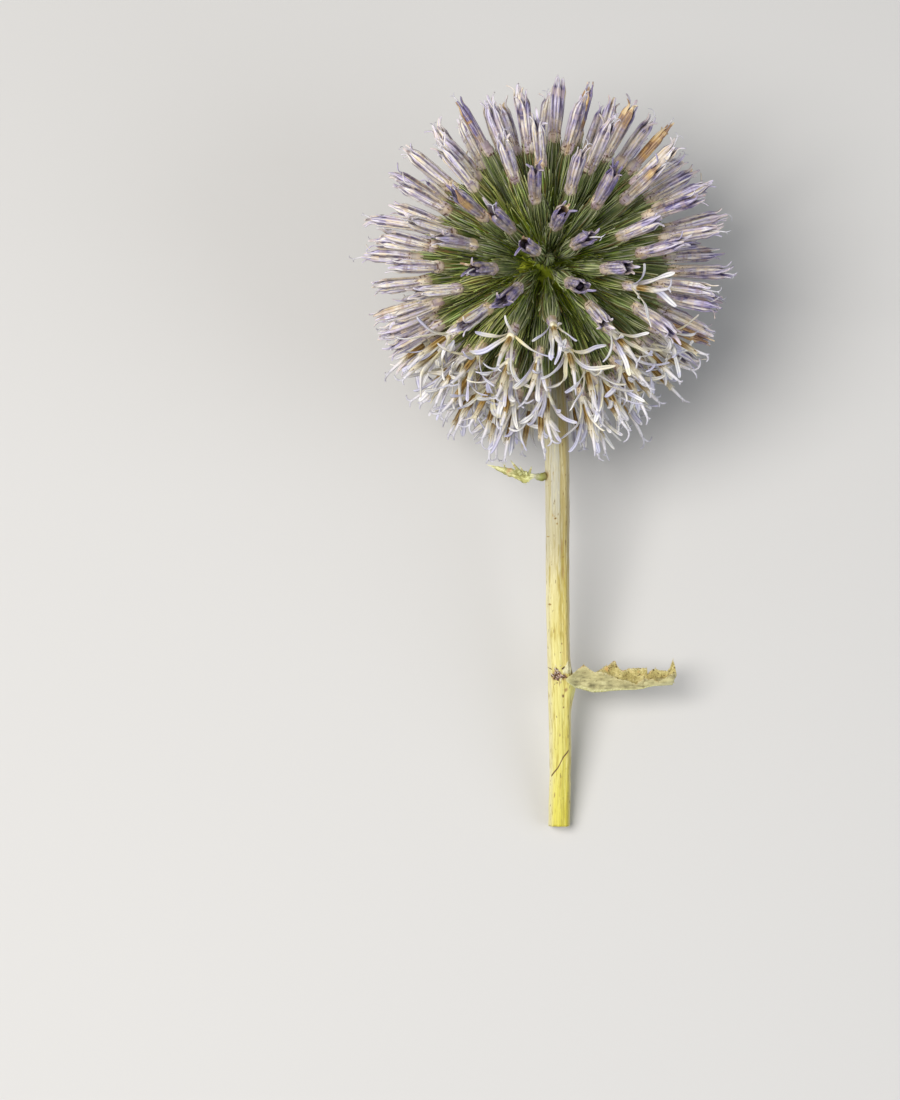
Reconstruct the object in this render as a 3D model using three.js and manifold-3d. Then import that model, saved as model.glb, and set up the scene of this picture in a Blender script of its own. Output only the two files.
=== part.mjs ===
// Dried globe thistle flower head, cut with a length of stem and lying on a flat surface.
// Millimetres, Z up. The flower is first built in its own frame: the middle of the head is the
// origin, the head's top looks along +Y, the stem runs along -Y, and +Z is its upper side as it
// lies. The whole flower is then leant so that the head and the stem's cut end both touch Z = 0.

import * as THREE from "three";
import * as BufferGeometryUtils from "three/addons/utils/BufferGeometryUtils.js";
import Module from "manifold-3d";

const wasm = await Module();
wasm.setup();
const { Manifold, Mesh: SolidMesh } = wasm;

const { cos, sin, PI } = Math;
const radians = THREE.MathUtils.degToRad;
const vector = (x, y, z) => new THREE.Vector3(x, y, z);

// ---------------------------------------------------------------- driving dimensions

const HEAD_RADIUS = 27.4; // from the middle of the head to the tips of the closed florets
const CORE_RADIUS = 6.7; // to the corners of the receptacle that every floret grows from
const FLORET_PLACES = 148; // florets on the whole globe, those of the stem's gap included
const STEM_GAP = radians(16); // half angle of the bare cone round the stem
const OPEN_WITHIN = radians(61); // florets this near to the middle of the open zone have opened
const OPEN_TILT = radians(14); // from the stem up to the middle of the open zone
const OPEN_BLUR = radians(8); // how ragged the edge of the open zone is
const DIRECTION_JITTER = 0.055; // sideways wander of a floret, as a share of its length
const LENGTH_JITTER = 0.04;
const NECK_STRETCH = 0.045; // how much longer the florets beside the stem are
const SEED = 41.7;

const REST_HEIGHT = 25.7; // middle of the head above the surface: the lowest florets are pressed
const STEM_LENGTH = 83; // from the middle of the head to the cut
const STEM_TOP_RADIUS = 1.2;
const STEM_NECK_RADIUS = 1.72; // just outside the head
const STEM_END_RADIUS = 1.52;
const STEM_END_HEIGHT = 1.48; // middle of the cut end above the surface
const STEM_RIBS = 8;
const STEM_RIB_DEPTH = 0.035; // of the radius, each way
const NODE_Y = -62.2; // where the leaf's base clasps the stem
const NODE_SPREAD = 2.3;
const NODE_BULGE = 0.8;
const FIT_GAP = 0.35; // clearance kept between one piece and the next

const LEAF_THICKNESS = 0.62;
const LEAF_FOLD = 0.38; // sideways lean of each half, as a share of its height
const BRACT_THICKNESS = 0.62;

const GOLDEN_ANGLE = PI * (3 - Math.sqrt(5));
const SIDES = 5;

// A floret's outline: distance from the middle of the head, and radius, of each ring.
const ROOT = [4.3, 0.5];
const INVOLUCRE = [15.3, 1.3];
const KNUCKLE = [18.6, 0.85];
const COROLLA_NECK = [25.1, 0.98];
const CROWN_RADIUS = 1.45;
const CROWN_PIT = 24.7;
const PRESSED_END = [27.6, 1.15];
const THROAT_LOW = [20.3, 0.68];
const THROAT_HIGH = [21.05, 0.74];
const ANTHER = [25.2, 0.5];
const STYLE_TIP = 29.6;
const LOBE_ROOT = [20.6, 0.5];
const LOBE_LENGTH = 6.4;
const LOBE_LEAN = radians(64); // of a wide open floret's lobes from the floret's axis
const LOBE_HALF_WIDTH = 0.42;
const LOBE_HALF_THICKNESS = 0.32;

// ---------------------------------------------------------------- skins and solids

// A skin gathers the points and triangles of one closed surface.
class Skin {
  points = [];
  triangles = [];

  ring(points) {
    const first = this.points.length;
    this.points.push(...points);
    return points.map((_, k) => first + k);
  }

  // Side wall between two rings that run the same way round the direction from a to b.
  bridge(a, b) {
    for (let j = 0; j < a.length; j += 1) {
      const next = (j + 1) % a.length;
      this.triangles.push([a[j], a[next], b[next]], [a[j], b[next], b[j]]);
    }
  }

  startCap(a) {
    for (let j = 1; j < a.length - 1; j += 1) this.triangles.push([a[0], a[j + 1], a[j]]);
  }

  endCap(a) {
    for (let j = 1; j < a.length - 1; j += 1) this.triangles.push([a[0], a[j], a[j + 1]]);
  }

  startPoint(point, a) {
    const [tip] = this.ring([point]);
    for (let j = 0; j < a.length; j += 1) this.triangles.push([tip, a[(j + 1) % a.length], a[j]]);
  }

  endPoint(a, point) {
    const [tip] = this.ring([point]);
    for (let j = 0; j < a.length; j += 1) this.triangles.push([a[j], a[(j + 1) % a.length], tip]);
  }

  solid() {
    const geometry = new THREE.BufferGeometry();
    geometry.setFromPoints(this.points);
    geometry.setIndex(this.triangles.flat());
    return solidOf(geometry);
  }
}

function solidOf(source) {
  const bare = source.clone();
  bare.deleteAttribute("normal");
  bare.deleteAttribute("uv");
  const merged = BufferGeometryUtils.mergeVertices(bare, 1e-5);
  return new Manifold(new SolidMesh({
    numProp: 3,
    vertProperties: Float32Array.from(merged.attributes.position.array),
    triVerts: Uint32Array.from(merged.index.array),
  }));
}

function geometryOf(solid) {
  const { vertProperties, triVerts } = solid.getMesh();
  const geometry = new THREE.BufferGeometry();
  geometry.setAttribute("position", new THREE.BufferAttribute(Float32Array.from(vertProperties), 3));
  geometry.setIndex(Array.from(triVerts));
  const faceted = geometry.toNonIndexed();
  faceted.computeVertexNormals();
  return faceted;
}

// The largest body of a solid, so that scraps cut loose are dropped.
function largestBody(solid) {
  return solid.decompose().reduce((a, b) => (b.volume() > a.volume() ? b : a));
}

function named(name, solid, color, roughness) {
  const material = new THREE.MeshStandardMaterial({ color, roughness, metalness: 0 });
  const mesh = new THREE.Mesh(geometryOf(solid), material);
  mesh.name = name;
  return mesh;
}

// ---------------------------------------------------------------- how it lies

const LEAN = Math.asin((REST_HEIGHT - STEM_END_HEIGHT) / STEM_LENGTH);
const DOWN = vector(0, -sin(LEAN), -cos(LEAN)); // towards the surface, in the flower's own frame

// The surface as a slab, in the flower's own frame, for cutting off what is pressed flat.
function surfaceSlab() {
  const slab = new THREE.BoxGeometry(300, 300, 20);
  slab.rotateX(-LEAN);
  const middle = DOWN.clone().multiplyScalar(REST_HEIGHT + 10);
  slab.translate(middle.x, middle.y, middle.z);
  return solidOf(slab);
}

// ---------------------------------------------------------------- florets

const OPEN_MIDDLE = vector(0, -cos(OPEN_TILT), sin(OPEN_TILT));

// A repeatable draw between 0 and 1, for floret "index" and question "key".
function draw(index, key) {
  const wave = sin(SEED + index * 12.9898 + key * 78.233) * 43758.5453;
  return wave - Math.floor(wave);
}

const spread = (index, key) => 2 * draw(index, key) - 1;

// Axes of a floret: "along" points out of the head, "u" and "v" lie across it.
function axesAlong(along) {
  const u = vector(0, 1, 0).cross(along).normalize();
  return { along, u, v: along.clone().cross(u) };
}

// Even places on the globe by the golden angle, each wandering a little.
function floretAxes(index) {
  const height = 1 - (2 * (index + 0.5)) / FLORET_PLACES;
  const across = Math.sqrt(1 - height * height);
  const turn = index * GOLDEN_ANGLE;
  const even = axesAlong(vector(across * cos(turn), height, across * sin(turn)));
  const along = even.along
    .addScaledVector(even.u, DIRECTION_JITTER * spread(index, 1))
    .addScaledVector(even.v, DIRECTION_JITTER * spread(index, 2))
    .normalize();
  return axesAlong(along);
}

function floretAt(index) {
  const axes = floretAxes(index);
  const polar = Math.acos(axes.along.y);
  const neck = NECK_STRETCH * THREE.MathUtils.smoothstep(polar, radians(135), PI - STEM_GAP);
  const stretch = 1 + neck + LENGTH_JITTER * spread(index, 3);
  const sink = stretch * axes.along.dot(DOWN);
  const pressed = sink * HEAD_RADIUS > REST_HEIGHT - 0.2;
  const roomToOpen = sink * STYLE_TIP < REST_HEIGHT + 1;
  const intoZone = OPEN_WITHIN + OPEN_BLUR * spread(index, 4) - axes.along.angleTo(OPEN_MIDDLE);
  const open = intoZone > 0 && roomToOpen;
  return { index, axes, polar, stretch, pressed, open, twist: 2 * PI * draw(index, 5) };
}

function florets() {
  const places = Array.from({ length: FLORET_PLACES }, (_, index) => floretAt(index));
  return places.filter((floret) => floret.polar < PI - STEM_GAP);
}

// A point of a floret: its distance out, and its place across the floret's axis.
function pointOn({ axes, stretch }, distance, radius, angle) {
  const out = ROOT[0] + (distance - ROOT[0]) * stretch;
  return vector(0, 0, 0)
    .addScaledVector(axes.along, out)
    .addScaledVector(axes.u, radius * cos(angle))
    .addScaledVector(axes.v, radius * sin(angle));
}

function ringOn(floret, [distance, radius], turn = 0) {
  const step = (2 * PI) / SIDES;
  const angles = Array.from({ length: SIDES }, (_, j) => floret.twist + turn + j * step);
  return angles.map((angle) => pointOn(floret, distance, radius, angle));
}

// The bristly green husk that both kinds of floret stand in.
function addHusk(skin, floret) {
  const root = skin.ring(ringOn(floret, ROOT));
  const husk = skin.ring(ringOn(floret, INVOLUCRE));
  const knuckle = skin.ring(ringOn(floret, KNUCKLE));
  skin.startCap(root);
  skin.bridge(root, husk);
  skin.bridge(husk, knuckle);
  return knuckle;
}

// A closed floret ends in a crown of five pointed petal tips round a small pit.
function closedFloret(floret) {
  const skin = new Skin();
  const knuckle = addHusk(skin, floret);
  if (floret.pressed) {
    const end = skin.ring(ringOn(floret, PRESSED_END));
    skin.bridge(knuckle, end);
    skin.endCap(end);
    return skin.solid();
  }
  const valleys = skin.ring(ringOn(floret, COROLLA_NECK));
  const tips = skin.ring(ringOn(floret, [HEAD_RADIUS, CROWN_RADIUS], PI / SIDES));
  const [pit] = skin.ring([pointOn(floret, CROWN_PIT, 0, 0)]);
  skin.bridge(knuckle, valleys);
  for (let j = 0; j < SIDES; j += 1) {
    const next = (j + 1) % SIDES;
    skin.triangles.push([valleys[j], valleys[next], tips[j]]);
    skin.triangles.push([pit, valleys[j], tips[j]], [pit, tips[j], valleys[next]]);
  }
  return skin.solid();
}

// How far a floret has opened. Beside the stem there is little room for it.
function openness({ index, polar }) {
  return (0.3 + 0.7 * draw(index, 6)) * (polar > radians(150) ? 0.6 : 1);
}

// One petal lobe of an open floret: it leans out from a side of the throat, bends and ends in
// a point.
function addLobe(skin, floret, base, lobe) {
  const { axes, index } = floret;
  const key = 10 + lobe * 4;
  const angle = floret.twist + ((lobe + 0.5) * 2 * PI) / SIDES + 0.15 * spread(index, key);
  const lean = LOBE_LEAN * openness(floret) * (1 + 0.3 * spread(index, key + 1));
  const half = (LOBE_LENGTH / 2) * (1 + 0.12 * spread(index, key + 3));
  const [midOut, midRadius] = [
    LOBE_ROOT[0] + half * cos(0.75 * lean), LOBE_ROOT[1] + half * sin(0.75 * lean),
  ];
  const middle = pointOn(floret, midOut, midRadius, angle);
  const tip = pointOn(
    floret, midOut + half * cos(1.25 * lean), midRadius + half * sin(1.25 * lean),
    angle + 0.25 * spread(index, key + 2),
  );
  const side = axes.u.clone().multiplyScalar(-sin(angle)).addScaledVector(axes.v, cos(angle));
  const run = tip.clone().sub(pointOn(floret, THROAT_LOW[0], 0, 0)).normalize();
  const up = run.clone().cross(side).normalize();
  const corner = (w, t) => middle.clone()
    .addScaledVector(side, w * LOBE_HALF_WIDTH)
    .addScaledVector(up, t * LOBE_HALF_THICKNESS);
  const waist = skin.ring([corner(-1, -1), corner(1, -1), corner(1, 1), corner(-1, 1)]);
  skin.bridge(base, waist);
  skin.endPoint(waist, tip);
}

// An open floret spreads five lobes round the anther tube and the style that stands out of it.
function openFloret(floret) {
  const skin = new Skin();
  const knuckle = addHusk(skin, floret);
  const low = skin.ring(ringOn(floret, THROAT_LOW));
  const high = skin.ring(ringOn(floret, THROAT_HIGH));
  const anther = skin.ring(ringOn(floret, ANTHER));
  skin.bridge(knuckle, low);
  for (let j = 0; j < SIDES; j += 1) {
    const next = (j + 1) % SIDES;
    addLobe(skin, floret, [low[j], low[next], high[next], high[j]], j);
  }
  skin.bridge(high, anther);
  skin.endPoint(anther, pointOn(floret, STYLE_TIP, 0, 0));
  return skin.solid();
}

function headSolid() {
  const core = solidOf(new THREE.IcosahedronGeometry(CORE_RADIUS, 0));
  const bodies = florets().map((floret) => (floret.open ? openFloret(floret) : closedFloret(floret)));
  const whole = Manifold.union([core, ...bodies]);
  return largestBody(whole.subtract(stemSolid(FIT_GAP)).subtract(surfaceSlab()));
}

// ---------------------------------------------------------------- stem

const STEM_PATH = new THREE.CatmullRomCurve3([
  vector(0.2, -6.7, 0),
  vector(0.9, -14, 0),
  vector(1.5, -24, 0),
  vector(1.7, -36, 0),
  vector(1.72, -50, 0.3),
  vector(1.93, -62, 0.4),
  vector(2.1, -72, 0.2),
  vector(1.95, -STEM_LENGTH, 0),
]);
const STEM_STEPS = 30;

function stemRadius(y) {
  const neck = THREE.MathUtils.smoothstep(-y, 6, 26);
  const slim = THREE.MathUtils.smoothstep(-y, 26, STEM_LENGTH);
  const upper = THREE.MathUtils.lerp(STEM_TOP_RADIUS, STEM_NECK_RADIUS, neck);
  return upper + (STEM_END_RADIUS - STEM_NECK_RADIUS) * slim;
}

// Swelling on the +X side where the leaf's base clasps the stem.
function nodeBulge(y, angle) {
  const along = Math.exp(-(((y - NODE_Y) / NODE_SPREAD) ** 2));
  return NODE_BULGE * along * Math.max(0, cos(angle)) ** 2;
}

function stemRing(share, margin) {
  const middle = STEM_PATH.getPointAt(share);
  const sides = 2 * STEM_RIBS;
  return Array.from({ length: sides }, (_, j) => {
    const angle = (2 * PI * j) / sides;
    const rib = 1 + STEM_RIB_DEPTH * (j % 2 ? -1 : 1);
    const radius = stemRadius(middle.y) * rib + nodeBulge(middle.y, angle) + margin;
    return vector(middle.x + radius * cos(angle), middle.y, middle.z + radius * sin(angle));
  });
}

function stemShaft(margin) {
  const skin = new Skin();
  const rings = Array.from({ length: STEM_STEPS + 1 }, (_, k) => stemRing(k / STEM_STEPS, margin));
  const loops = rings.map((points) => skin.ring(points));
  skin.startCap(loops[0]);
  for (let k = 0; k < STEM_STEPS; k += 1) skin.bridge(loops[k], loops[k + 1]);
  skin.endCap(loops[STEM_STEPS]);
  return skin.solid();
}

// A thorn or a bud: a pointed spike whose foot is sunk into the piece it grows from.
function spike(foot, tip, radius, sides) {
  const run = tip.clone().sub(foot);
  const cone = new THREE.ConeGeometry(radius, run.length(), sides);
  cone.translate(0, run.length() / 2, 0);
  cone.applyQuaternion(new THREE.Quaternion().setFromUnitVectors(vector(0, 1, 0), run.normalize()));
  cone.translate(foot.x, foot.y, foot.z);
  return solidOf(cone);
}

// The stem with the small bud in the leaf's axil, grown by a margin on every side.
function stemSolid(margin) {
  const bud = spike(vector(2.75, -62.3, 1), vector(3.15, -58.3, 1.15), 0.85 + margin, 6);
  return Manifold.union([stemShaft(margin), bud]);
}

// ---------------------------------------------------------------- leaf and bract

// Outline of the folded leaf: distance from the stem's middle, level of the keel, and height of
// the cut, spiny margin above the keel.
const LEAF_OUTLINE = [
  [4, -62.35, 2.2], [5.5, -62.8, 3.6], [6.9, -63.2, 3], [8, -63.15, 3.25], [10.1, -62.95, 4.2],
  [10.7, -62.9, 3.2], [12.7, -62.8, 3], [14.9, -62.65, 2.9], [15.15, -62.6, 1.9],
  [16.3, -62.35, 2.6], [17.5, -62.25, 2.2], [18.5, -62.2, 2.3],
];
const LEAF_ROOT = vector(3.7, -61.3, 0.5);
const LEAF_SPINE = vector(19.1, -58.5, 0.9);
const LEAF_PLANE = 0.3; // how far the keel lies above the middle of the head
const LEAF_BACK_SHIFT = 0.45; // the hidden half's teeth stand between those of the near half

// Across the fold: the near half, the keel and the far half, outside first and then inside.
function leafSection([x, keel, front], back) {
  const wall = (height, side, thickness) => [height, side * (LEAF_FOLD * height + thickness)];
  const section = [
    wall(front, 1, LEAF_THICKNESS), wall(front * 0.5, 1.35, LEAF_THICKNESS * 0.8),
    [-LEAF_THICKNESS * 0.6, 0],
    wall(back * 0.5, -1.35, LEAF_THICKNESS * 0.8), wall(back, -1, LEAF_THICKNESS),
    wall(back, -1, 0), wall(back * 0.5, -1.2, 0),
    [LEAF_THICKNESS * 0.4, 0],
    wall(front * 0.5, 1.2, 0), wall(front, 1, 0),
  ];
  return section.map(([up, out]) => vector(x, keel + up, LEAF_PLANE + out));
}

function bladeSolid(start, sections, end) {
  const skin = new Skin();
  const loops = sections.map((points) => skin.ring(points));
  skin.startPoint(start, loops[0]);
  for (let k = 0; k + 1 < loops.length; k += 1) skin.bridge(loops[k], loops[k + 1]);
  skin.endPoint(loops[loops.length - 1], end);
  return skin.solid();
}

function leafSolid() {
  const sections = LEAF_OUTLINE.map((station, k) => {
    const next = LEAF_OUTLINE[Math.min(k + 1, LEAF_OUTLINE.length - 1)];
    return leafSection(station, THREE.MathUtils.lerp(station[2], next[2], LEAF_BACK_SHIFT));
  });
  const blade = bladeSolid(LEAF_ROOT, sections, LEAF_SPINE);
  return largestBody(blade.subtract(stemSolid(FIT_GAP)));
}

// Small spiny leaf close under the head, on the other side of the stem.
const BRACT_PATH = new THREE.CatmullRomCurve3([
  vector(-0.35, -31.3, 0.2),
  vector(-2.6, -31.6, 0.4),
  vector(-4.8, -31.1, 0.6),
  vector(-8.8, -29.6, 0.9),
]);
const BRACT_HALF_WIDTHS = [0.7, 0.9, 0.85, 0.75, 0.6, 0.42];
const BRACT_THORNS = [
  [vector(-3.2, -31.2, 0.6), vector(-3.9, -29.6, 0.9)],
  [vector(-4.4, -31.1, 0.7), vector(-5.25, -28.9, 1)],
  [vector(-5.7, -30.8, 0.8), vector(-6.45, -29.4, 1.1)],
  [vector(-3.2, -31.4, 0.6), vector(-2.9, -33, 0.8)],
];

function bractSection(halfWidth, k) {
  const middle = BRACT_PATH.getPointAt((k + 0.5) / (BRACT_HALF_WIDTHS.length + 0.5));
  const half = BRACT_THICKNESS / 2;
  const cup = 0.3 * halfWidth;
  const section = [
    [halfWidth, cup - half], [0, -half], [-halfWidth, cup - half],
    [-halfWidth, cup + half], [0, half], [halfWidth, cup + half],
  ];
  return section.map(([up, out]) => vector(middle.x, middle.y + up, middle.z + out));
}

function bractSolid() {
  const sections = BRACT_HALF_WIDTHS.map(bractSection);
  const blade = bladeSolid(BRACT_PATH.getPointAt(0), sections, BRACT_PATH.getPointAt(1));
  const thorns = BRACT_THORNS.map(([foot, tip]) => spike(foot, tip, 0.4, 4));
  return largestBody(Manifold.union([blade, ...thorns]).subtract(stemSolid(FIT_GAP)));
}

// ---------------------------------------------------------------- the flower as it lies

const group = new THREE.Group();
group.add(
  named("head", headSolid(), 0xa9a591, 0.85),
  named("stem", stemSolid(0).subtract(surfaceSlab()), 0xcfc58a, 0.75),
  named("leaf", leafSolid(), 0xb9b88a, 0.8),
  named("bract", bractSolid(), 0xb6bf72, 0.8),
);
group.rotation.x = LEAN;
group.position.z = REST_HEIGHT;
group.updateMatrixWorld(true);
const extent = new THREE.Box3().setFromObject(group, true);
group.position.x -= (extent.min.x + extent.max.x) / 2;
group.position.y -= (extent.min.y + extent.max.y) / 2;

export default group;
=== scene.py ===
"""A dried globe thistle flower head lying on a pale surface.

Lengths are in millimetres in the flower's own frame (middle of the head at the origin, head's top
towards +Y, stem along -Y, upper side +Z) until to_row() turns them into metres in the row frame.
"""
import functools
import math

import bpy
import numpy as np
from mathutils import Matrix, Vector


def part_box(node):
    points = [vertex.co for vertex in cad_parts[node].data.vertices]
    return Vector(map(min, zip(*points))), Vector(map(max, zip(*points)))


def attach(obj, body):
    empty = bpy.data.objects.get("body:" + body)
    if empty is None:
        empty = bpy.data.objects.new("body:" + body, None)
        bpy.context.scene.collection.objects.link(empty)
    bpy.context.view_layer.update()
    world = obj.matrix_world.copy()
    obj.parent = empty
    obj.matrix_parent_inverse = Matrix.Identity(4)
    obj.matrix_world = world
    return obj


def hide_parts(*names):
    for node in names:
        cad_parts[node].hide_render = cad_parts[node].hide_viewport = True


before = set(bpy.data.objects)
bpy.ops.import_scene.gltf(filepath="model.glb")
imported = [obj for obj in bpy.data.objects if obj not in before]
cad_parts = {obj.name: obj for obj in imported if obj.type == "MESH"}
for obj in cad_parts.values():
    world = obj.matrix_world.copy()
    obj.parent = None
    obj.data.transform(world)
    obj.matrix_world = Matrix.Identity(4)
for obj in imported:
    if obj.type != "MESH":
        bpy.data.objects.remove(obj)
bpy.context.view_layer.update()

MM = 0.001
TAU = 2 * math.pi

# ---- driving dimensions

HEAD_RADIUS = 27.4
FLORET_PLACES = 148
STEM_GAP = math.radians(16)
OPEN_WITHIN = math.radians(61)
OPEN_TILT = math.radians(14)
OPEN_BLUR = math.radians(8)
DIRECTION_JITTER = 0.055
LENGTH_JITTER = 0.04
NECK_STRETCH = 0.045
SEED = 41.7
ROOT_OUT = 4.3
STYLE_TIP = 29.6
LOBE_ROOT = (20.6, 0.5)
LOBE_LENGTH = 6.4
LOBE_LEAN = math.radians(64)
CORE_RADIUS = 5.4
PETALS = 5
PETAL_FOOT = 19.3
CLOSED_KNUCKLE, OPEN_KNUCKLE = 0.93, 0.76
ANTHER_FOOT, ANTHER_TIP, ANTHER_RADIUS = 20.6, (24.6, 26.6), 0.42
STYLE_LEAN = 0.5
KINK_OUT, KINK_SPAN = 17.5, 9  # where a corolla starts to bend off its husk's line, and over what

REST_HEIGHT = 25.7
STEM_LENGTH = 83
STEM_END_HEIGHT = 1.48
STEM_TOP_RADIUS = 1.2
STEM_NECK_RADIUS = 1.72
STEM_END_RADIUS = 1.52
STEM_RIBS = 8
STEM_RIB_DEPTH = 0.035
NODE_Y = -62.2
NODE_SPREAD = 2.3
NODE_BULGE = 0.8
LEAF_TIP_X = 19.1

LEAN = math.asin((REST_HEIGHT - STEM_END_HEIGHT) / STEM_LENGTH)
GOLDEN_ANGLE = math.pi * (3 - math.sqrt(5))

# Where the middle of the head is: across from the leaf's tip, along from the stem's cut end.
END_RIB_RADIUS = STEM_END_RADIUS * (1 + STEM_RIB_DEPTH)
HEAD_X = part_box("leaf")[1].x / MM - LEAF_TIP_X
HEAD_Y = (
    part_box("stem")[0].y / MM
    + STEM_LENGTH * math.cos(LEAN)
    + END_RIB_RADIUS * math.sin(LEAN)
)
PRESS_ZONE = 0.4  # what would sink below the surface is eased flat within this height


def to_row(points):
    """Points of the flower's own frame, in millimetres, as metres in the row frame."""
    x, y, z = points[..., 0], points[..., 1], points[..., 2]
    across = x + HEAD_X
    ahead = y * math.cos(LEAN) - z * math.sin(LEAN) + HEAD_Y
    height = y * math.sin(LEAN) + z * math.cos(LEAN) + REST_HEIGHT
    eased = PRESS_ZONE * np.exp(np.minimum(height - PRESS_ZONE, 0) / PRESS_ZONE)
    height = np.where(height < PRESS_ZONE, eased, height)
    return np.stack([across, ahead, height], axis=-1) * MM


# ---- mesh building

UP = np.array([0.0, 0, 1])


@functools.lru_cache(None)
def topology(stations, sides):
    """Faces of a tube of rings that closes at both ends on a point of its own."""
    ring = np.arange(sides)
    after = (ring + 1) % sides
    first = np.arange(stations - 1)[:, None] * sides
    quads = np.stack(
        [first + ring, first + after, first + sides + after, first + sides + ring], axis=-1
    ).reshape(-1, 4)
    last = (stations - 1) * sides
    start, end = stations * sides, stations * sides + 1
    fans = np.concatenate([
        np.stack([np.full(sides, start), after, ring], axis=-1),
        np.stack([last + ring, last + after, np.full(sides, end)], axis=-1),
    ])
    return quads, fans


class Batch:
    """Closed tubes gathered into one mesh. Every point carries four marks for the shaders."""

    def __init__(self):
        self.points, self.marks, self.quads, self.fans = [], [], [], []
        self.size = 0

    def tube(self, rings, *channels):
        """rings is (stations, sides, 3). Each of the four channels fits (stations, sides)."""
        stations, sides, _ = rings.shape
        marks = np.broadcast_to(marks_of(*channels), (stations, sides, 4))
        for store, values in ((self.points, rings), (self.marks, marks)):
            ends = [[values[0].mean(axis=0)], [values[-1].mean(axis=0)]]
            store.extend([values.reshape(stations * sides, -1), *ends])
        quads, fans = topology(stations, sides)
        self.quads.append(quads + self.size)
        self.fans.append(fans + self.size)
        self.size += stations * sides + 2

    def piece(self, name, material, slot, *nodes):
        mesh = bpy.data.meshes.new(name)
        points = to_row(np.concatenate(self.points))
        faces = np.concatenate(self.quads).tolist() + np.concatenate(self.fans).tolist()
        mesh.from_pydata(points.tolist(), [], faces)
        mesh.attributes.new("grain", "FLOAT_COLOR", "POINT")
        marks = np.clip(np.concatenate(self.marks), 0, 1).astype(np.float32)
        mesh.attributes["grain"].data.foreach_set("color", marks.ravel())
        mesh.polygons.foreach_set("use_smooth", [True] * len(mesh.polygons))
        mesh.materials.append(material)
        mesh.update()
        obj = bpy.data.objects.new(name, mesh)
        bpy.context.scene.collection.objects.link(obj)
        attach(obj, "root")
        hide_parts(*nodes)
        return obj


def unit(vectors):
    return vectors / np.maximum(np.linalg.norm(vectors, axis=-1, keepdims=True), 1e-12)


def sweep(path, section, facing):
    """Rings along a path. section is (sides, 2) or (stations, sides, 2): how far each point
    lies towards the side that faces "facing", and to its left."""
    run = unit(np.gradient(path, axis=0))
    facing = np.broadcast_to(facing, path.shape)
    front = unit(facing - np.sum(facing * run, axis=-1, keepdims=True) * run)
    left = np.cross(run, front)
    section = np.broadcast_to(section, (len(path),) + section.shape[-2:])
    return (
        path[:, None]
        + section[..., 0, None] * front[:, None]
        + section[..., 1, None] * left[:, None]
    )


def turns(sides):
    """Even angles round a ring."""
    return TAU * np.arange(sides) / sides


def tapered(sides, half, height=1.0):
    """Sections of a tube: half its width at each station, and its height as a share of that."""
    half, angles = np.asarray(half), turns(sides)
    circle = np.stack([np.cos(angles), np.sin(angles)], axis=-1)
    return circle[None] * np.stack([half * height, half], axis=-1)[:, None]


def straight(foot, tip, share):
    return np.array(foot) * (1 - share[:, None]) + np.array(tip) * share[:, None]


def bowed(foot, middle, tip, share):
    """A smooth curve through three points."""
    foot, middle, tip, s = np.array(foot), np.array(middle), np.array(tip), share[:, None]
    pull = 2 * middle - 0.5 * (foot + tip)
    return (1 - s) ** 2 * foot + 2 * s * (1 - s) * pull + s ** 2 * tip


def marks_of(*channels):
    """Four channels, each a number or an array over (stations, sides), as marks."""
    return np.stack(np.broadcast_arrays(*[np.asarray(c, float) for c in channels]), axis=-1)


# ---- florets

def draw(index, key):
    wave = math.sin(SEED + index * 12.9898 + key * 78.233) * 43758.5453
    return wave - math.floor(wave)


def spread(index, key):
    return 2 * draw(index, key) - 1


def smoothstep(value, low, high):
    share = np.clip((value - low) / (high - low), 0, 1)
    return share * share * (3 - 2 * share)


def axes_along(along):
    u = unit(np.cross([0, 1, 0], along))
    return along, u, np.cross(along, u)


DOWN = np.array([0, -math.sin(LEAN), -math.cos(LEAN)])
OPEN_MIDDLE = np.array([0, -math.cos(OPEN_TILT), math.sin(OPEN_TILT)])
NECK_START = math.radians(135)  # from here down, florets reach a little further out
HALF_SHUT = math.radians(150)  # from here down, lobes spread less
FLORET_SEED, BETWEEN_SEED = 1000, 3000  # those between the others have half numbers
TOP_FACE = 0.72  # florets that face up more than this have more lilac in them


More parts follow.
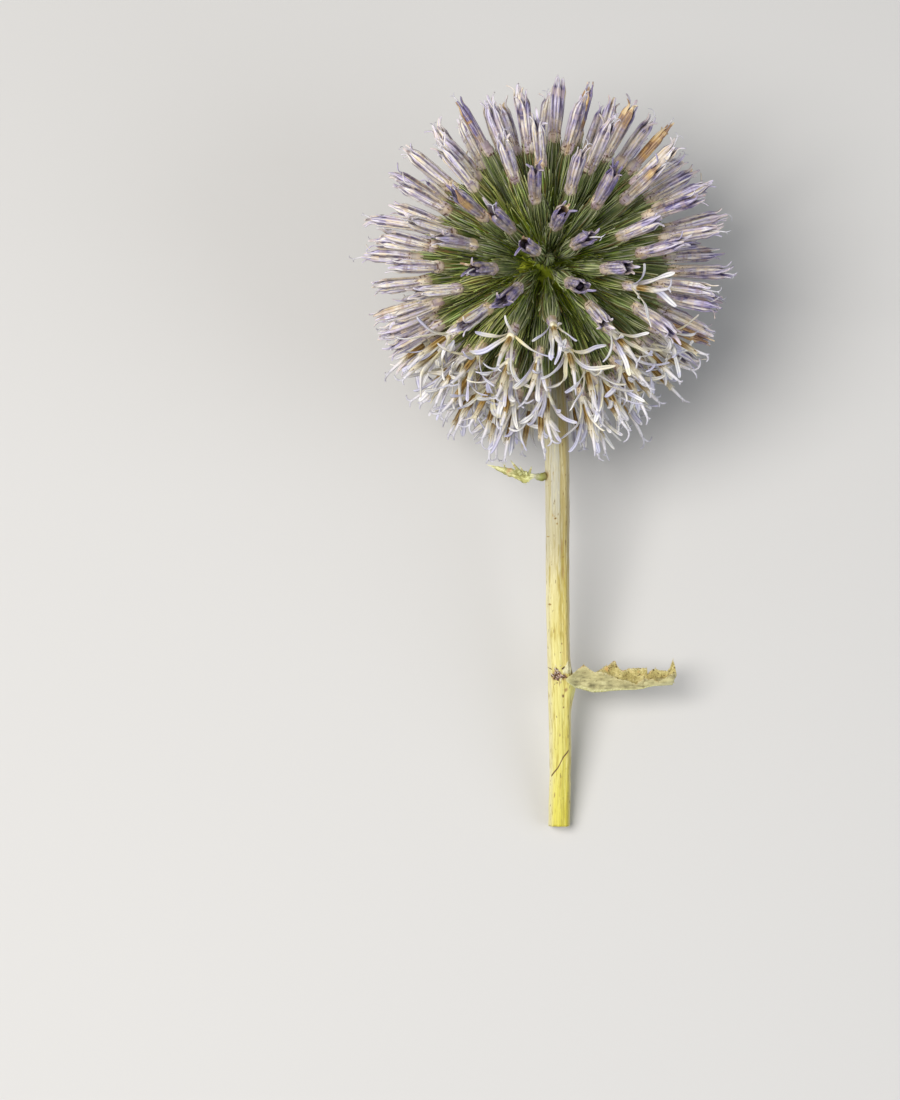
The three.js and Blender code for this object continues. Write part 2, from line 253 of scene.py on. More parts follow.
class Floret:
    """One floret's place, as the solids have it, and the small bends that only show here."""

    def __init__(self, index, polar=None, turn=None):
        height = 1 - 2 * (index + 0.5) / FLORET_PLACES if polar is None else math.cos(polar)
        across = math.sqrt(1 - height * height)
        turn = index * GOLDEN_ANGLE if turn is None else turn
        even = np.array([across * math.cos(turn), height, across * math.sin(turn)])
        even, u, v = axes_along(even)
        wander = DIRECTION_JITTER * (spread(index, 1) * u + spread(index, 2) * v)
        self.index = index
        self.along, self.u, self.v = axes_along(unit(even + wander))
        self.polar = math.acos(self.along[1])
        neck = NECK_STRETCH * float(smoothstep(self.polar, NECK_START, math.pi - STEM_GAP))
        self.stretch = 1 + neck + LENGTH_JITTER * spread(index, 3)
        sink = self.stretch * float(self.along @ DOWN)
        self.pressed = sink * HEAD_RADIUS > REST_HEIGHT - 0.2
        room = sink * STYLE_TIP < REST_HEIGHT + 1
        zone = OPEN_WITHIN + OPEN_BLUR * spread(index, 4)
        self.into_zone = zone - math.acos(float(self.along @ OPEN_MIDDLE))
        self.open = self.into_zone > 0 and room
        self.openness = (0.3 + 0.7 * draw(index, 6)) * (0.6 if self.polar > HALF_SHUT else 1)
        self.withered = self.young = False
        self.twist = TAU * draw(index, 5)
        self.rng = np.random.RandomState(int(FLORET_SEED + index + BETWEEN_SEED * (index % 1)))
        up = max(0.0, self.along[2] - TOP_FACE) / (1 - TOP_FACE)
        # Florets on the head's right side get a higher tint, so their petals turn lilac and darker
        # and their husks greyer: painted shade on the side away from the light. Lower florets get a
        # lower tint, which makes their petals creamier and gives their husks the painted highlight
        # in husk_material.
        side = (0.24 - 1.2 * up) * self.along[0] + 0.22 * min(0.0, self.along[1])
        limb_tint = min(0.7 * self.rng.uniform() + 0.2 + side, 0.78)
        self.tint = min(max(limb_tint + 0.84 * up, 0.02), 0.92)
        self.kink = self.rng.normal(0, 0.35, 2)
        self.bend = self.rng.normal(0, 0.4, 2)

    def at(self, out, p, q):
        """Points of the floret: out along its axis, p and q across it."""
        out, p, q = np.broadcast_arrays(np.asarray(out, float), p, q)
        lift = np.clip((out - KINK_OUT) / KINK_SPAN, 0, 1.3)
        p = p + self.kink[0] * lift + self.bend[0] * lift ** 2
        q = q + self.kink[1] * lift + self.bend[1] * lift ** 2
        out = ROOT_OUT + (out - ROOT_OUT) * self.stretch
        return out[..., None] * self.along + p[..., None] * self.u + q[..., None] * self.v

    def polar_at(self, out, radius, angle):
        return self.at(out, radius * np.cos(angle), radius * np.sin(angle))

    def outward(self, angle):
        """Directions across the axis at an angle."""
        angle = np.asarray(angle, float)
        return np.cos(angle)[..., None] * self.u + np.sin(angle)[..., None] * self.v


def add_strand(batch, floret, path, section, facing, along, across=0.5):
    """A tube along a path, marked with a number of its own and with the floret's tint."""
    rings = sweep(path, section, facing)
    batch.tube(rings, along[:, None], across, floret.rng.uniform(), floret.tint)


HUSK_OUT = [3.6, 6, 9, 12, 15.3, 17, 18.7]
HUSK_RADIUS = [0.4, 0.5, 0.72, 0.95, 1.1, 0.98, 0.72]
HUSK_BODY = 0.88  # the body's share of the husk's radius, under its scales
HUSK_SPAN = 30  # how far out the husk's first mark reaches 1


def husk_radius(out, young):
    """The husk of a floret that hasn't come out yet closes to a point."""
    radius = np.interp(out, HUSK_OUT, HUSK_RADIUS)
    return radius * (1 - 0.9 * smoothstep(out, 13, 19)) if young else radius


def add_husk_body(batch, floret):
    out = np.linspace(HUSK_OUT[0], HUSK_OUT[-1], 9)
    radius = husk_radius(out, floret.young) * HUSK_BODY
    rings = floret.polar_at(out[:, None], radius[:, None], turns(10)[None])
    batch.tube(rings, out[:, None] / HUSK_SPAN, 0.0, 0.5, floret.tint)


SCALE_SHARE = np.array([0, 0.2, 0.45, 0.68, 0.86, 1])
SCALE_WIDTH = np.array([0.45, 0.95, 1, 0.8, 0.45, 0.06])


def add_husk_scale(batch, floret, angle, start, end, half_width, stand):
    """A narrow, keeled, long-pointed scale that lies on the husk and lifts off at its tip."""
    share = SCALE_SHARE
    out = start + (end - start) * share
    drift = angle + floret.rng.normal(0, 0.16) * share ** 2
    radius = husk_radius(out, floret.young) - 0.02 + stand * share ** 3
    path = floret.polar_at(out, radius, drift)
    half = half_width * SCALE_WIDTH
    keel = 0.06 + 0.5 * half
    flat = np.zeros_like(half)
    section = np.stack([
        np.stack([keel, flat], -1), np.stack([flat, half], -1),
        np.stack([flat - 0.06, flat], -1), np.stack([flat, -half], -1),
    ], axis=1)
    ridge = np.array([1, 0.2, 0.0, 0.2])[None]
    add_strand(batch, floret, path, section, floret.outward(drift), out / HUSK_SPAN, ridge)


def add_husk_bristle(batch, floret, angle, start, end, stand):
    """A fine bristle that springs from the husk's lower half."""
    share = np.linspace(0, 1, 5)
    out = start + (end - start) * share
    radius = husk_radius(start, floret.young) + 0.02 + stand * share ** 1.6
    path = floret.polar_at(out, radius, angle + floret.rng.normal(0, 0.45) * share)
    section = tapered(3, [0.055, 0.055, 0.05, 0.035, 0.012])
    add_strand(batch, floret, path, section, floret.outward(angle), out / HUSK_SPAN, 0.7)


HUSK_WHORLS = [  # scales, where they start and end, half width, how far the tips stand off
    (13, 4.6, 12.8, 0.12, 0.5), (14, 6.5, 14.9, 0.125, 0.42), (13, 8.5, 16.6, 0.13, 0.34),
    (12, 10.5, 18.1, 0.13, 0.24), (11, 12.5, 19.2, 0.13, 0.14),
]
HUSK_BRISTLES = 32


def add_husk(batch, floret):
    rng = floret.rng
    add_husk_body(batch, floret)
    for count, start, end, half_width, stand in HUSK_WHORLS:
        turn = rng.uniform(0, TAU)
        for k in range(count):
            add_husk_scale(
                batch, floret, turn + TAU * (k + rng.normal(0, 0.2)) / count,
                start + rng.normal(0, 0.6), end + rng.normal(0, 0.6),
                half_width * rng.uniform(0.7, 1.25), stand * rng.uniform(0, 2.2),
            )
    for _ in range(HUSK_BRISTLES):
        start = rng.uniform(4.8, 10.5)
        add_husk_bristle(
            batch, floret, rng.uniform(0, TAU), start,
            start + rng.uniform(4, 8), rng.uniform(0.1, 0.75),
        )


def add_knuckle(batch, floret, radius):
    """The swollen joint under the corolla, with a low bump under every petal."""
    rng = floret.rng
    out = np.array([17.7, 18.1, 18.6, 19.1, 19.6, 20.1])
    width = radius * np.array([0.72, 0.9, 0.99, 0.98, 0.92, 0.86])
    angles = turns(20)
    lumps = 1 + 0.07 * np.cos(PETALS * angles) + rng.normal(0, 0.035, (6, 20))
    rings = floret.polar_at(out[:, None], width[:, None] * lumps, floret.twist + angles[None])
    height = (out[:, None] - out[0]) / 12
    batch.tube(rings, height, 0.5 + 0.45 * np.sin(angles), rng.uniform(), floret.tint)


# Across a closed petal: place, and height over an even arc. It folds up into two ridges.
PETAL_ACROSS = np.array([-1, -0.84, -0.5, -0.2, 0, 0.2, 0.5, 0.84, 1])
PETAL_RISE = np.array([-0.24, -0.02, 0.08, 0.04, -0.05, 0.04, 0.08, -0.02, -0.24])
PETAL_BACK = np.array([0.8, 0.3, -0.3, -0.8])
PETAL_MARKS = np.concatenate([PETAL_ACROSS, PETAL_BACK]) * 0.5 + 0.5


def petal_section(half_angle, radius, fold, thickness):
    """Cross-section of a closed petal at each station: a folded arc round the floret's axis."""
    radius = radius[:, None]
    outer = half_angle[:, None] * PETAL_ACROSS
    inner = half_angle[:, None] * PETAL_BACK
    rise = fold[:, None] * PETAL_RISE
    front = np.stack([radius * (np.cos(outer) - 1) + rise, radius * np.sin(outer)], -1)
    sunk = radius * (np.cos(inner) - 1) - thickness[:, None]
    back = np.stack([sunk, radius * np.sin(inner)], -1)
    return np.concatenate([front, back], axis=1)


PETAL_SHARE = np.array([0, 0.08, 0.2, 0.36, 0.52, 0.66, 0.74, 0.8, 0.85, 0.89, 0.93, 0.97, 1])


def add_closed_petal(batch, floret, number, girth, length, flare, curl):
    """It clasps the others below, and ends in a narrow blunt tip that curls its own way."""
    rng, share = floret.rng, PETAL_SHARE
    angle = floret.twist + TAU * number / PETALS + rng.normal(0, 0.07)
    out = PETAL_FOOT + (length - PETAL_FOOT) * share
    narrow = smoothstep(share, 0.74, 0.9)
    radius = girth * (0.82 + 0.18 * smoothstep(share, 0, 0.4) - 0.36 * narrow)
    half_angle = 0.64 * (1 - narrow) + 0.36 * narrow
    half_angle[-2:] *= (0.85, 0.45)
    late = np.clip((share - 0.66) / 0.34, 0, 1)
    distance = radius + flare * late ** 1.3
    distance[-3:] += curl * np.array([0.1, 0.35, 0.6])
    turn = angle + rng.normal(0, 0.12) * share + rng.normal(0, 0.35) * late ** 2
    path = floret.polar_at(out, distance, turn)
    section = petal_section(half_angle, radius, 1 - 0.7 * narrow, 0.16 - 0.04 * narrow)
    facing = floret.outward(turn)
    add_strand(batch, floret, path, section, facing, share * 0.8 + 0.1, PETAL_MARKS)


def add_closed_corolla(petals, anthers, floret):
    rng = floret.rng
    add_knuckle(petals, floret, CLOSED_KNUCKLE)
    loosened = float(smoothstep(floret.into_zone, math.radians(-35), 0))
    girth = 0.7 if floret.withered else rng.uniform(0.92, 1.05)
    for number in range(PETALS):
        length = HEAD_RADIUS - abs(rng.normal(0, 0.6)) + 0.5 * rng.uniform()
        flare = abs(rng.normal(0.03, 0.2)) + loosened * rng.uniform(0, 0.35)
        curl = rng.normal(0.2, 0.45) + (rng.uniform() < 0.35) * rng.uniform(0.4, 1.4)
        if floret.withered:
            flare, curl = 0.3 * flare, 0.6 * curl
        add_closed_petal(petals, floret, number, girth, length, flare, curl)
    # The anther tube inside a closed corolla is marked tint 0, so anther_material paints it
    # near-black violet: painted shade in the corolla's mouth.
    out = np.array([21.0, 22.5, 23.8, 24.3])
    radius = girth * np.array([0.6, 0.62, 0.55, 0.3])
    angles = turns(10)
    lumps = 1 + 0.12 * np.cos(PETALS * angles)
    rings = floret.polar_at(out[:, None], radius[:, None] * lumps, angles)
    anthers.tube(rings, 0.1, 0.0, 0.0, 0.0)


def add_stigma(batch, floret, base, run, side, size, thickness):
    """The forked end of a style: two short arms that curl away from each other."""
    rng = floret.rng
    for sign in (-1, 1):
        bend = np.linspace(0, rng.uniform(0.8, 2.5), 8)
        curl = size * rng.uniform(0.4, 0.85)
        reach = sign * curl * (1 - np.cos(bend))
        rise = curl * np.sin(bend)
        path = base + rise[:, None] * run + reach[:, None] * side
        section = tapered(5, thickness * np.array([1, 1, 0.95, 0.9, 0.85, 0.8, 0.7, 0.4]))
        add_strand(batch, floret, path, section, np.cross(run, side), np.linspace(0.8, 1, 8))


def add_style(batch, floret, start, end, radii, fork):
    """A style from one distance out to another, and the forked stigma on its end."""
    rng = floret.rng
    share = np.linspace(0, 1, 9)
    angle = rng.uniform(0, TAU)
    path = floret.polar_at(start + (end - start) * share, STYLE_LEAN * share ** 1.8, angle)
    section = tapered(6, radii[0] + (radii[1] - radii[0]) * share)
    add_strand(batch, floret, path, section, floret.outward(angle), share * 0.8)
    run = unit(path[-1] - path[-2])
    side = unit(np.cross(run, floret.outward(rng.uniform(0, TAU))))
    add_stigma(batch, floret, path[-1] - 0.05 * run, run, side, fork, radii[1] * 0.85)


def add_tube(batch, floret):
    """The thin pale tube that an open floret's lobes spread from."""
    out = np.array([18.2, 18.9, 19.6, 20.2, 20.7, 21.1])
    radius = np.array([0.55, 0.64, 0.56, 0.56, 0.64, 0.56])
    angles = turns(15)
    ribs = 1 + 0.08 * np.cos(PETALS * angles)
    rings = floret.polar_at(out[:, None], radius[:, None] * ribs, floret.twist + angles)
    batch.tube(rings, (out[:, None] - out[0]) / 10, 0.5, 0.5, floret.tint)


LOBE_ACROSS = np.array([-1, -0.55, 0, 0.55, 1])
LOBE_MARKS = np.concatenate([LOBE_ACROSS, LOBE_ACROSS[3:0:-1]]) * 0.5 + 0.5
LOBE_SHARE = np.array(
    [0, 0.07, 0.14, 0.22, 0.3, 0.38, 0.46, 0.54, 0.62, 0.7, 0.78, 0.85, 0.91, 0.95, 0.975, 0.992, 1]
)
LOBE_WIDTH = np.interp(
    LOBE_SHARE, [0, 0.15, 0.35, 0.6, 0.82, 0.91, 0.95, 0.975, 0.992, 1],
    [0.5, 0.7, 0.9, 1, 0.96, 0.86, 0.74, 0.56, 0.34, 0.1],
)


def lobe_course(floret, number):
    """Out and across of a lobe's foot, middle and tip, the same as in the solids."""
    index, key = floret.index, 10 + number * 4
    angle = floret.twist + (number + 0.5) * TAU / PETALS + 0.15 * spread(index, key)
    lean = LOBE_LEAN * floret.openness * (1 + 0.3 * spread(index, key + 1))
    half = LOBE_LENGTH / 2 * (1 + 0.12 * spread(index, key + 3))
    tip_angle = angle + 0.25 * spread(index, key + 2)
    mid_out = LOBE_ROOT[0] + half * math.cos(0.75 * lean)
    mid_radius = LOBE_ROOT[1] + half * math.sin(0.75 * lean)
    tip_out = mid_out + half * math.cos(1.25 * lean)
    tip_radius = mid_radius + half * math.sin(1.25 * lean)
    places = (
        (LOBE_ROOT[0] - 0.3, LOBE_ROOT[1], angle), (mid_out, mid_radius, angle),
        (tip_out, tip_radius, tip_angle),
    )
    return angle, [np.array([o, r * math.cos(a), r * math.sin(a)]) for o, r, a in places]


def add_lobe(batch, floret, number):
    """A petal lobe of an open floret: a long narrow strip with a groove along its middle."""
    rng, share = floret.rng, LOBE_SHARE
    angle, (foot, middle, tip) = lobe_course(floret, number)
    line = bowed(foot, middle, tip, share)
    late = np.clip((share - 0.45) / 0.55, 0, 1) ** 2
    hook = (rng.uniform() < 0.35) * rng.uniform(0.5, 1.2)
    sideways = rng.normal(0, 0.55 + 0.6 * hook) * late + rng.normal(0, 0.14) * np.sin(5 * share)
    sideways += rng.normal(0, 0.09) * np.sin(11 * share + rng.uniform(0, TAU)) * share
    lift = (rng.normal(0.1, 0.6) - hook) * late
    lift += rng.normal(0, 0.11) * np.sin(9 * share + rng.uniform(0, TAU)) * share
    line[:, 0] += lift
    line[:, 1] -= sideways * math.sin(angle)
    line[:, 2] += sideways * math.cos(angle)
    path = floret.at(*line.T)
    half = rng.uniform(0.35, 0.5) * LOBE_WIDTH
    half = half * (1 + rng.normal(0, 0.1) * np.sin(8 * share + rng.uniform(0, TAU)))
    rolled = rng.uniform(0.1, 0.35)
    edge, inner = half[:, None] * LOBE_ACROSS, half[:, None] * 0.94 * LOBE_ACROSS[3:0:-1]
    upper = np.stack([0.05 + rolled * np.abs(edge) - 0.03 * (LOBE_ACROSS == 0), edge], -1)
    lower = np.stack([-0.07 + rolled * np.abs(inner), inner], -1)
    section = np.concatenate([upper, lower], axis=1)
    roll = rng.normal(0, 0.8) * share + rng.normal(0, 0.35) * np.sin(7 * share)
    facing = (
        np.cos(roll)[:, None] * floret.along
        + np.sin(roll)[:, None] * floret.outward(angle + math.pi / 2)
        - 0.4 * floret.outward(angle)
    )
    add_strand(batch, floret, path, section, facing, share * 0.7 + 0.3, LOBE_MARKS)


def add_anther_tube(batch, floret, end):
    """Five anthers joined in a ribbed tube, frayed where the style comes out."""
    rng = floret.rng
    share = np.array([0, 0.12, 0.35, 0.6, 0.82, 0.93, 1.0])
    out = ANTHER_FOOT + (end - ANTHER_FOOT) * share
    radius = ANTHER_RADIUS * np.array([0.6, 0.85, 0.95, 1.0, 0.86, 0.72, 0.5])
    angles = turns(20)
    wave = np.cos(PETALS * angles)
    ribs = 1 + 0.13 * wave + rng.normal(0, 0.02, (7, 20))
    rings = floret.polar_at(out[:, None], radius[:, None] * ribs, floret.twist + angles)
    batch.tube(rings, share[:, None] * 0.85, 0.5 + 0.5 * wave, rng.uniform(), floret.tint)
    for number in range(PETALS):
        share = np.linspace(0, 1, 5)
        angle = floret.twist + TAU * number / PETALS + rng.normal(0, 0.2) * share
        stand = ANTHER_RADIUS * 0.8 + rng.uniform(0, 0.25) * share ** 2
        tooth = floret.polar_at(end - 0.6 + rng.uniform(0.7, 1.3) * share, stand, angle)
        section = tapered(4, [0.1, 0.1, 0.08, 0.06, 0.02])
        add_strand(batch, floret, tooth, section, floret.outward(angle), 0.7 + 0.3 * share, 0.6)


# ---- materials

class Value:
    """A value in a node tree. +, -, * and abs() make the Math nodes for it."""

    def __init__(self, nodes, socket):
        self.nodes, self.socket = nodes, socket

    def __add__(self, other):
        return self.nodes.math("ADD", self, other)

    def __sub__(self, other):
        return self.nodes.math("SUBTRACT", self, other)

    def __rsub__(self, other):
        return self.nodes.math("SUBTRACT", other, self)

    def __mul__(self, other):
        return self.nodes.math("MULTIPLY", self, other)

    def __abs__(self):
        return self.nodes.math("ABSOLUTE", self)


class Nodes:
    """A new material's node tree, and short calls for building it."""

    def __init__(self, name, roughness, specular):
        self.material = bpy.data.materials.new(name)
        self.material.use_nodes = True
        self.tree = self.material.node_tree
        self.surface = self.tree.nodes["Principled BSDF"]
        self.surface.inputs["Roughness"].default_value = roughness
        self.surface.inputs["Specular IOR Level"].default_value = specular

    def feed(self, socket, value):
        """value is a Value, a number, or a colour of three numbers."""
        if isinstance(value, Value):
            self.tree.links.new(value.socket, socket)
        else:
            socket.default_value = (*value, 1) if isinstance(value, tuple) else value

    def make(self, kind, output, inputs, **settings):
        """A new node with these settings and inputs, as the value of one of its outputs."""
        node = self.tree.nodes.new(kind)
        for key, value in settings.items():
            setattr(node, key, value)
        for key, value in inputs.items():
            self.feed(node.inputs[key], value)
        return Value(self, node.outputs[output])

    def math(self, operation, *values):
        return self.make("ShaderNodeMath", 0, dict(enumerate(values)), operation=operation)

    def vector(self, *values):
        return self.make("ShaderNodeCombineXYZ", 0, dict(enumerate(values)))

    def grain(self):
        """The four marks of the mesh: along, across, strand and tint."""
        marks = self.make("ShaderNodeAttribute", "Color", {}, attribute_name="grain")
        parts = self.make("ShaderNodeSeparateColor", 0, {0: marks}).socket.node.outputs
        return [Value(self, part) for part in (*parts, marks.socket.node.outputs["Alpha"])]

    def noise(self, where, scale=1.0, detail=3.0, rough=0.55):
        """where is a vector or a tuple of its three values."""
        where = self.vector(*where) if isinstance(where, tuple) else where
        inputs = {"Vector": where, "Scale": scale, "Detail": detail, "Roughness": rough}
        return self.make("ShaderNodeTexNoise", "Fac", inputs)

    def ramp(self, value, *stops):
        """stops are (place, red, green, blue)."""
        ramp = self.make("ShaderNodeValToRGB", 0, {0: value})
        elements = ramp.socket.node.color_ramp.elements
        while len(elements) < len(stops):
            elements.new(0.5)
        for element, (place, *color) in zip(elements, stops):
            element.position = place
            element.color = (*color, 1)
        return ramp

    def mix(self, share, a, b, blend="MIX"):
        """The node's colours are its inputs 6 and 7, and its output 2."""
        inputs = {0: share, 6: a, 7: b}
        return self.make("ShaderNodeMix", 2, inputs, data_type="RGBA", blend_type=blend)

    def layers(self, base, *layers):
        """Colours laid over base one by one: each a share, a colour and maybe a blend type."""
        for share, color, *blend in layers:
            base = self.mix(share, base, color, *blend)
        return base

    def band(self, value, low, high):
        """0 below low, 1 above high, smooth between."""
        inputs = {"Value": value, "From Min": low, "From Max": high}
        return self.make("ShaderNodeMapRange", "Result", inputs, interpolation_type="SMOOTHSTEP")

    def finished(self, color, height=None, strength=0.0, distance=0.0):
        """The material with its colour, and with bumps that stand up to distance mm."""
        self.feed(self.surface.inputs["Base Color"], color)
        if height is not None:
            inputs = {"Height": height, "Strength": strength, "Distance": distance * MM}
            self.feed(self.surface.inputs["Normal"], self.make("ShaderNodeBump", 0, inputs))
        return self.material


def husk_material():
    """Bristly green: vivid inside the head, grey-green further out, straw at the scales' tips.
    Lit and shaded copies of the green mix strand by strand and are shaded at the scales' sides
    (painted light and shade), and both are lightest near the roots deep in the head (painted
    light).
    """
    n = Nodes("husk", 0.6, 0.18)
    along, ridge, strand, tint = n.grain()
    where = n.vector(along * 12, ridge * 2, strand * 61)
    streak = n.noise(where, 1.6, 4)
    # shaded_green is painted shade and fresh is painted light: lit picks between them by strand,
    # streak and keel, so the scales' sides and many whole strands come out shaded. Both ramps are
    # lightest near the roots, standing in for light deep in the head: painted light.
    shaded_green = n.ramp(
        along, (0.14, 0.26, 0.31, 0.014), (0.28, 0.13, 0.19, 0.006), (0.42, 0.05, 0.08, 0.012),
        (0.55, 0.1, 0.12, 0.035), (0.64, 0.24, 0.22, 0.1),
    )
    fresh = n.ramp(
        along, (0.14, 0.72, 0.76, 0.06), (0.28, 0.55, 0.63, 0.05), (0.42, 0.38, 0.47, 0.08),
        (0.54, 0.47, 0.52, 0.17), (0.64, 0.74, 0.7, 0.4),
    )
    own = strand * 0.75 + streak * 0.5
    lit = n.band(ridge * 0.35 + own, 0.6, 1.04)
    green = n.mix(lit, shaded_green, fresh)
    pale = n.band(strand + along * 0.4, 0.94, 1.06)
    # Painted highlight: the lit strands of the lower florets' husks, whose tint is low, turn bright
    # yellow green.
    lower_highlight = n.band(tint, 0.42, 0.1) * n.band(along, 0.26, 0.46)
    # Bright yellow-green specks on the inner husks: partly their own colour, partly painted
    # highlight.
    specks_and_highlights = n.noise((along * 22, ridge, strand * 97), 1.0, 2)
    specks_and_highlights = n.band(specks_and_highlights, 0.54, 0.62) * n.band(along, 0.55, 0.36)
    leafy = n.noise((along * 4, ridge, strand * 71), 1.2, 2)
    ash = n.noise((along * 5, ridge, strand * 53), 1.2, 2)
    # The grey bristles and the young floret's vivid green are also darker on strands that lit
    # leaves shaded: painted shade.
    ashen = n.mix(lit, (0.05, 0.044, 0.05), (0.4, 0.38, 0.37))
    vivid = n.band(tint, 0.015, 0.005) * (lit * 0.5 + 0.4)
    grey = n.band(tint + streak * 0.4, 0.7, 1.1)
    dry = n.band(streak * 0.8 + (1.0 - strand), 1.28, 1.42)
    green = n.layers(
        green,
        (pale * 0.75, (0.72, 0.75, 0.46)),
        (lower_highlight * (lit * 0.7), (0.8, 0.78, 0.25)),
        (specks_and_highlights * 0.75, (0.8, 0.86, 0.14)),
        (n.band(leafy, 0.5, 0.6), (0.78, 1.0, 0.66), "MULTIPLY"),
        (n.band(ash, 0.54, 0.6) * 0.85, ashen),
        (vivid, (0.76, 0.82, 0.07)),
        (grey * 0.3, (0.3, 0.34, 0.19)),
        (dry * 0.8, (0.3, 0.19, 0.06)),
    )
    return n.finished(green, streak, 0.4, 0.04)


def corolla_material():
    """Closed petals: dry lilac white in fine long streaks, beige at the joint, some tan ones.
    The streaks' dark and light ends are partly painted shade and highlight, and the petals darken
    in the grooves between them and along each one's middle fold: painted shade.
    """
    n = Nodes("corolla", 0.5, 0.35)
    along, across, strand, tint = n.grain()
    fine = n.noise((along * 2.6, across * 3.4, strand * 83), 1.5, 5, 0.62)
    broad = n.noise((along * 3, across * 2, strand * 37), 1.0, 2)
    patch = n.noise((along * 5, tint * 47, strand * 7), 1.0, 3)
    middle = abs(across - 0.5)
    # Lowering the stripe along each petal's middle darkens the valley of its fold: painted shade.
    # The dark ends of the white and lilac mixes are partly the petals' own lilac streaks, partly
    # painted shade, and their light ends partly painted highlight.
    stripe = fine + n.band(middle, 0.06, 0.02) * -0.1
    white = n.mix(n.band(stripe, 0.37, 0.47), (0.26, 0.21, 0.33), (0.96, 0.93, 0.88))
    lilac = n.mix(n.band(stripe, 0.42, 0.6), (0.08, 0.065, 0.16), (0.58, 0.52, 0.65))
    own = tint * 0.55 + broad * 1.1
    petal = n.mix(n.band(own, 0.68, 1.06), white, lilac)
    violet = n.band(tint, 0.78, 0.92) * n.band(fine, 0.72, 0.36)
    # Painted shade in the grooves between petals: near-black violet along their edges, below the
    # tips.
    groove_shade = n.band(middle, 0.27, 0.43) * n.band(along, 0.84, 0.68)
    tip = n.band(along, 0.74, 0.86) * n.band(strand, 0.05, 0.3)
    tip = tip * n.band(tint, 0.95, 0.6)
    base = n.mix(n.band(fine, 0.38, 0.6), (0.38, 0.21, 0.13), (0.93, 0.75, 0.57))
    mottle = n.noise((along * 11, across * 3, strand * 19), 1.0, 4, 0.65)
    base = n.layers(
        base,
        (n.band(mottle, 0.5, 0.62) * 0.75, (0.27, 0.13, 0.08)),
        (n.band(mottle, 0.44, 0.36) * 0.85, (0.98, 0.88, 0.7)),
    )
    low = along + patch * 0.3
    low = n.band(low + strand * 0.08, 0.44, 0.2)
    cream = n.band(along * -0.6 + (patch + strand * 0.3), 0.22, 0.5)
    warm = n.noise((along * 4, tint * 23, strand * 13), 1.3, 3, 0.6)
    cast = n.noise((along * 1.6, across * 2.4, tint * 61 + strand * 29), 1.4, 3, 0.6)
    speck = n.noise((along * 26, across * 5, strand * 31), 1.0, 2)
    dots = n.band(speck, 0.58, 0.65) * n.band(along, 0.5, 0.1)
    tan = n.ramp(
        along * 0.5 + fine * 0.9, (0.42, 0.12, 0.06, 0.03), (0.6, 0.45, 0.24, 0.08),
        (0.8, 0.66, 0.46, 0.2), (1.0, 0.85, 0.76, 0.6),
    )
    tan = n.mix(
        n.band(warm, 0.44, 0.56), tan,
        n.mix(n.band(fine, 0.4, 0.6), (0.16, 0.08, 0.045), (0.52, 0.34, 0.2)),
    )
    golden = n.band(strand, 0.955, 0.96) * n.band(along + patch, 0.75, 1.15)
    golden = golden * n.band(fine, 0.25, 0.5)
    brown = n.band(tint, 0.925, 0.935) * n.band(along, 0.16, 0.3)
    patchy = n.band(patch + (tint - 0.95) * 8, 0.42, 0.55)
    petal = n.layers(
        petal,
        (violet * 0.85, (0.16, 0.13, 0.27)),
        (groove_shade * 0.92, (0.07, 0.05, 0.1)),
        (tip * 0.7, (0.78, 0.74, 0.78)),
        (low, base),
        (cream * 0.34, (0.9, 0.82, 0.64)),
        (n.band(warm, 0.5, 0.62) * 0.45, (0.8, 0.66, 0.5)),
        (n.band(warm, 0.42, 0.34) * 0.55, (0.4, 0.29, 0.25)),
        (n.band(cast, 0.49, 0.57), (0.76, 0.735, 1.0), "MULTIPLY"),
        (n.band(cast, 0.45, 0.37), (1.0, 0.93, 0.74), "MULTIPLY"),
        (dots * 0.9, (0.13, 0.06, 0.035)),
        (golden, tan),
        (brown * patchy, tan),
    )
    return n.finished(petal, fine, 0.6, 0.06)


def lobe_material():
    """Open petal lobes: nearly white, with lilac veins and a lilac flush, and painted shade
    darkening both edges.
    """
    n = Nodes("lobe", 0.45, 0.35)
    along, across, strand, tint = n.grain()
    fine = n.noise((along * 3, across * 5, strand * 83), 1.4, 4, 0.6)
    flush = n.band(strand * 0.6 + fine, 0.8, 1.2)
    petal = n.mix(flush, (0.93, 0.92, 0.89), (0.58, 0.56, 0.68))
    middle = abs(across - 0.5)
    cream = n.band(fine + strand - along * 1.2, 0.15, 0.75)
    cast = n.noise((along * 1.5, tint * 61, strand * 43), 1.3, 3, 0.6)
    petal = n.layers(
        petal,
        (n.band(middle, 0.14, 0.02) * 0.6, (0.38, 0.37, 0.53)),
        # Painted shade: grey lilac along both edges, where the lobe rolls up.
        (n.band(middle, 0.34, 0.5) * 0.6, (0.34, 0.33, 0.44)),
        (cream * 0.7, (0.93, 0.87, 0.56)),
        (n.band(fine, 0.58, 0.75) * 0.35, (0.5, 0.43, 0.4)),
        (n.band(cast, 0.49, 0.57), (0.81, 0.81, 1.0), "MULTIPLY"),
        (n.band(cast, 0.46, 0.37), (1.0, 0.96, 0.76), "MULTIPLY"),
    )
    return n.finished(petal, fine, 0.5, 0.05)


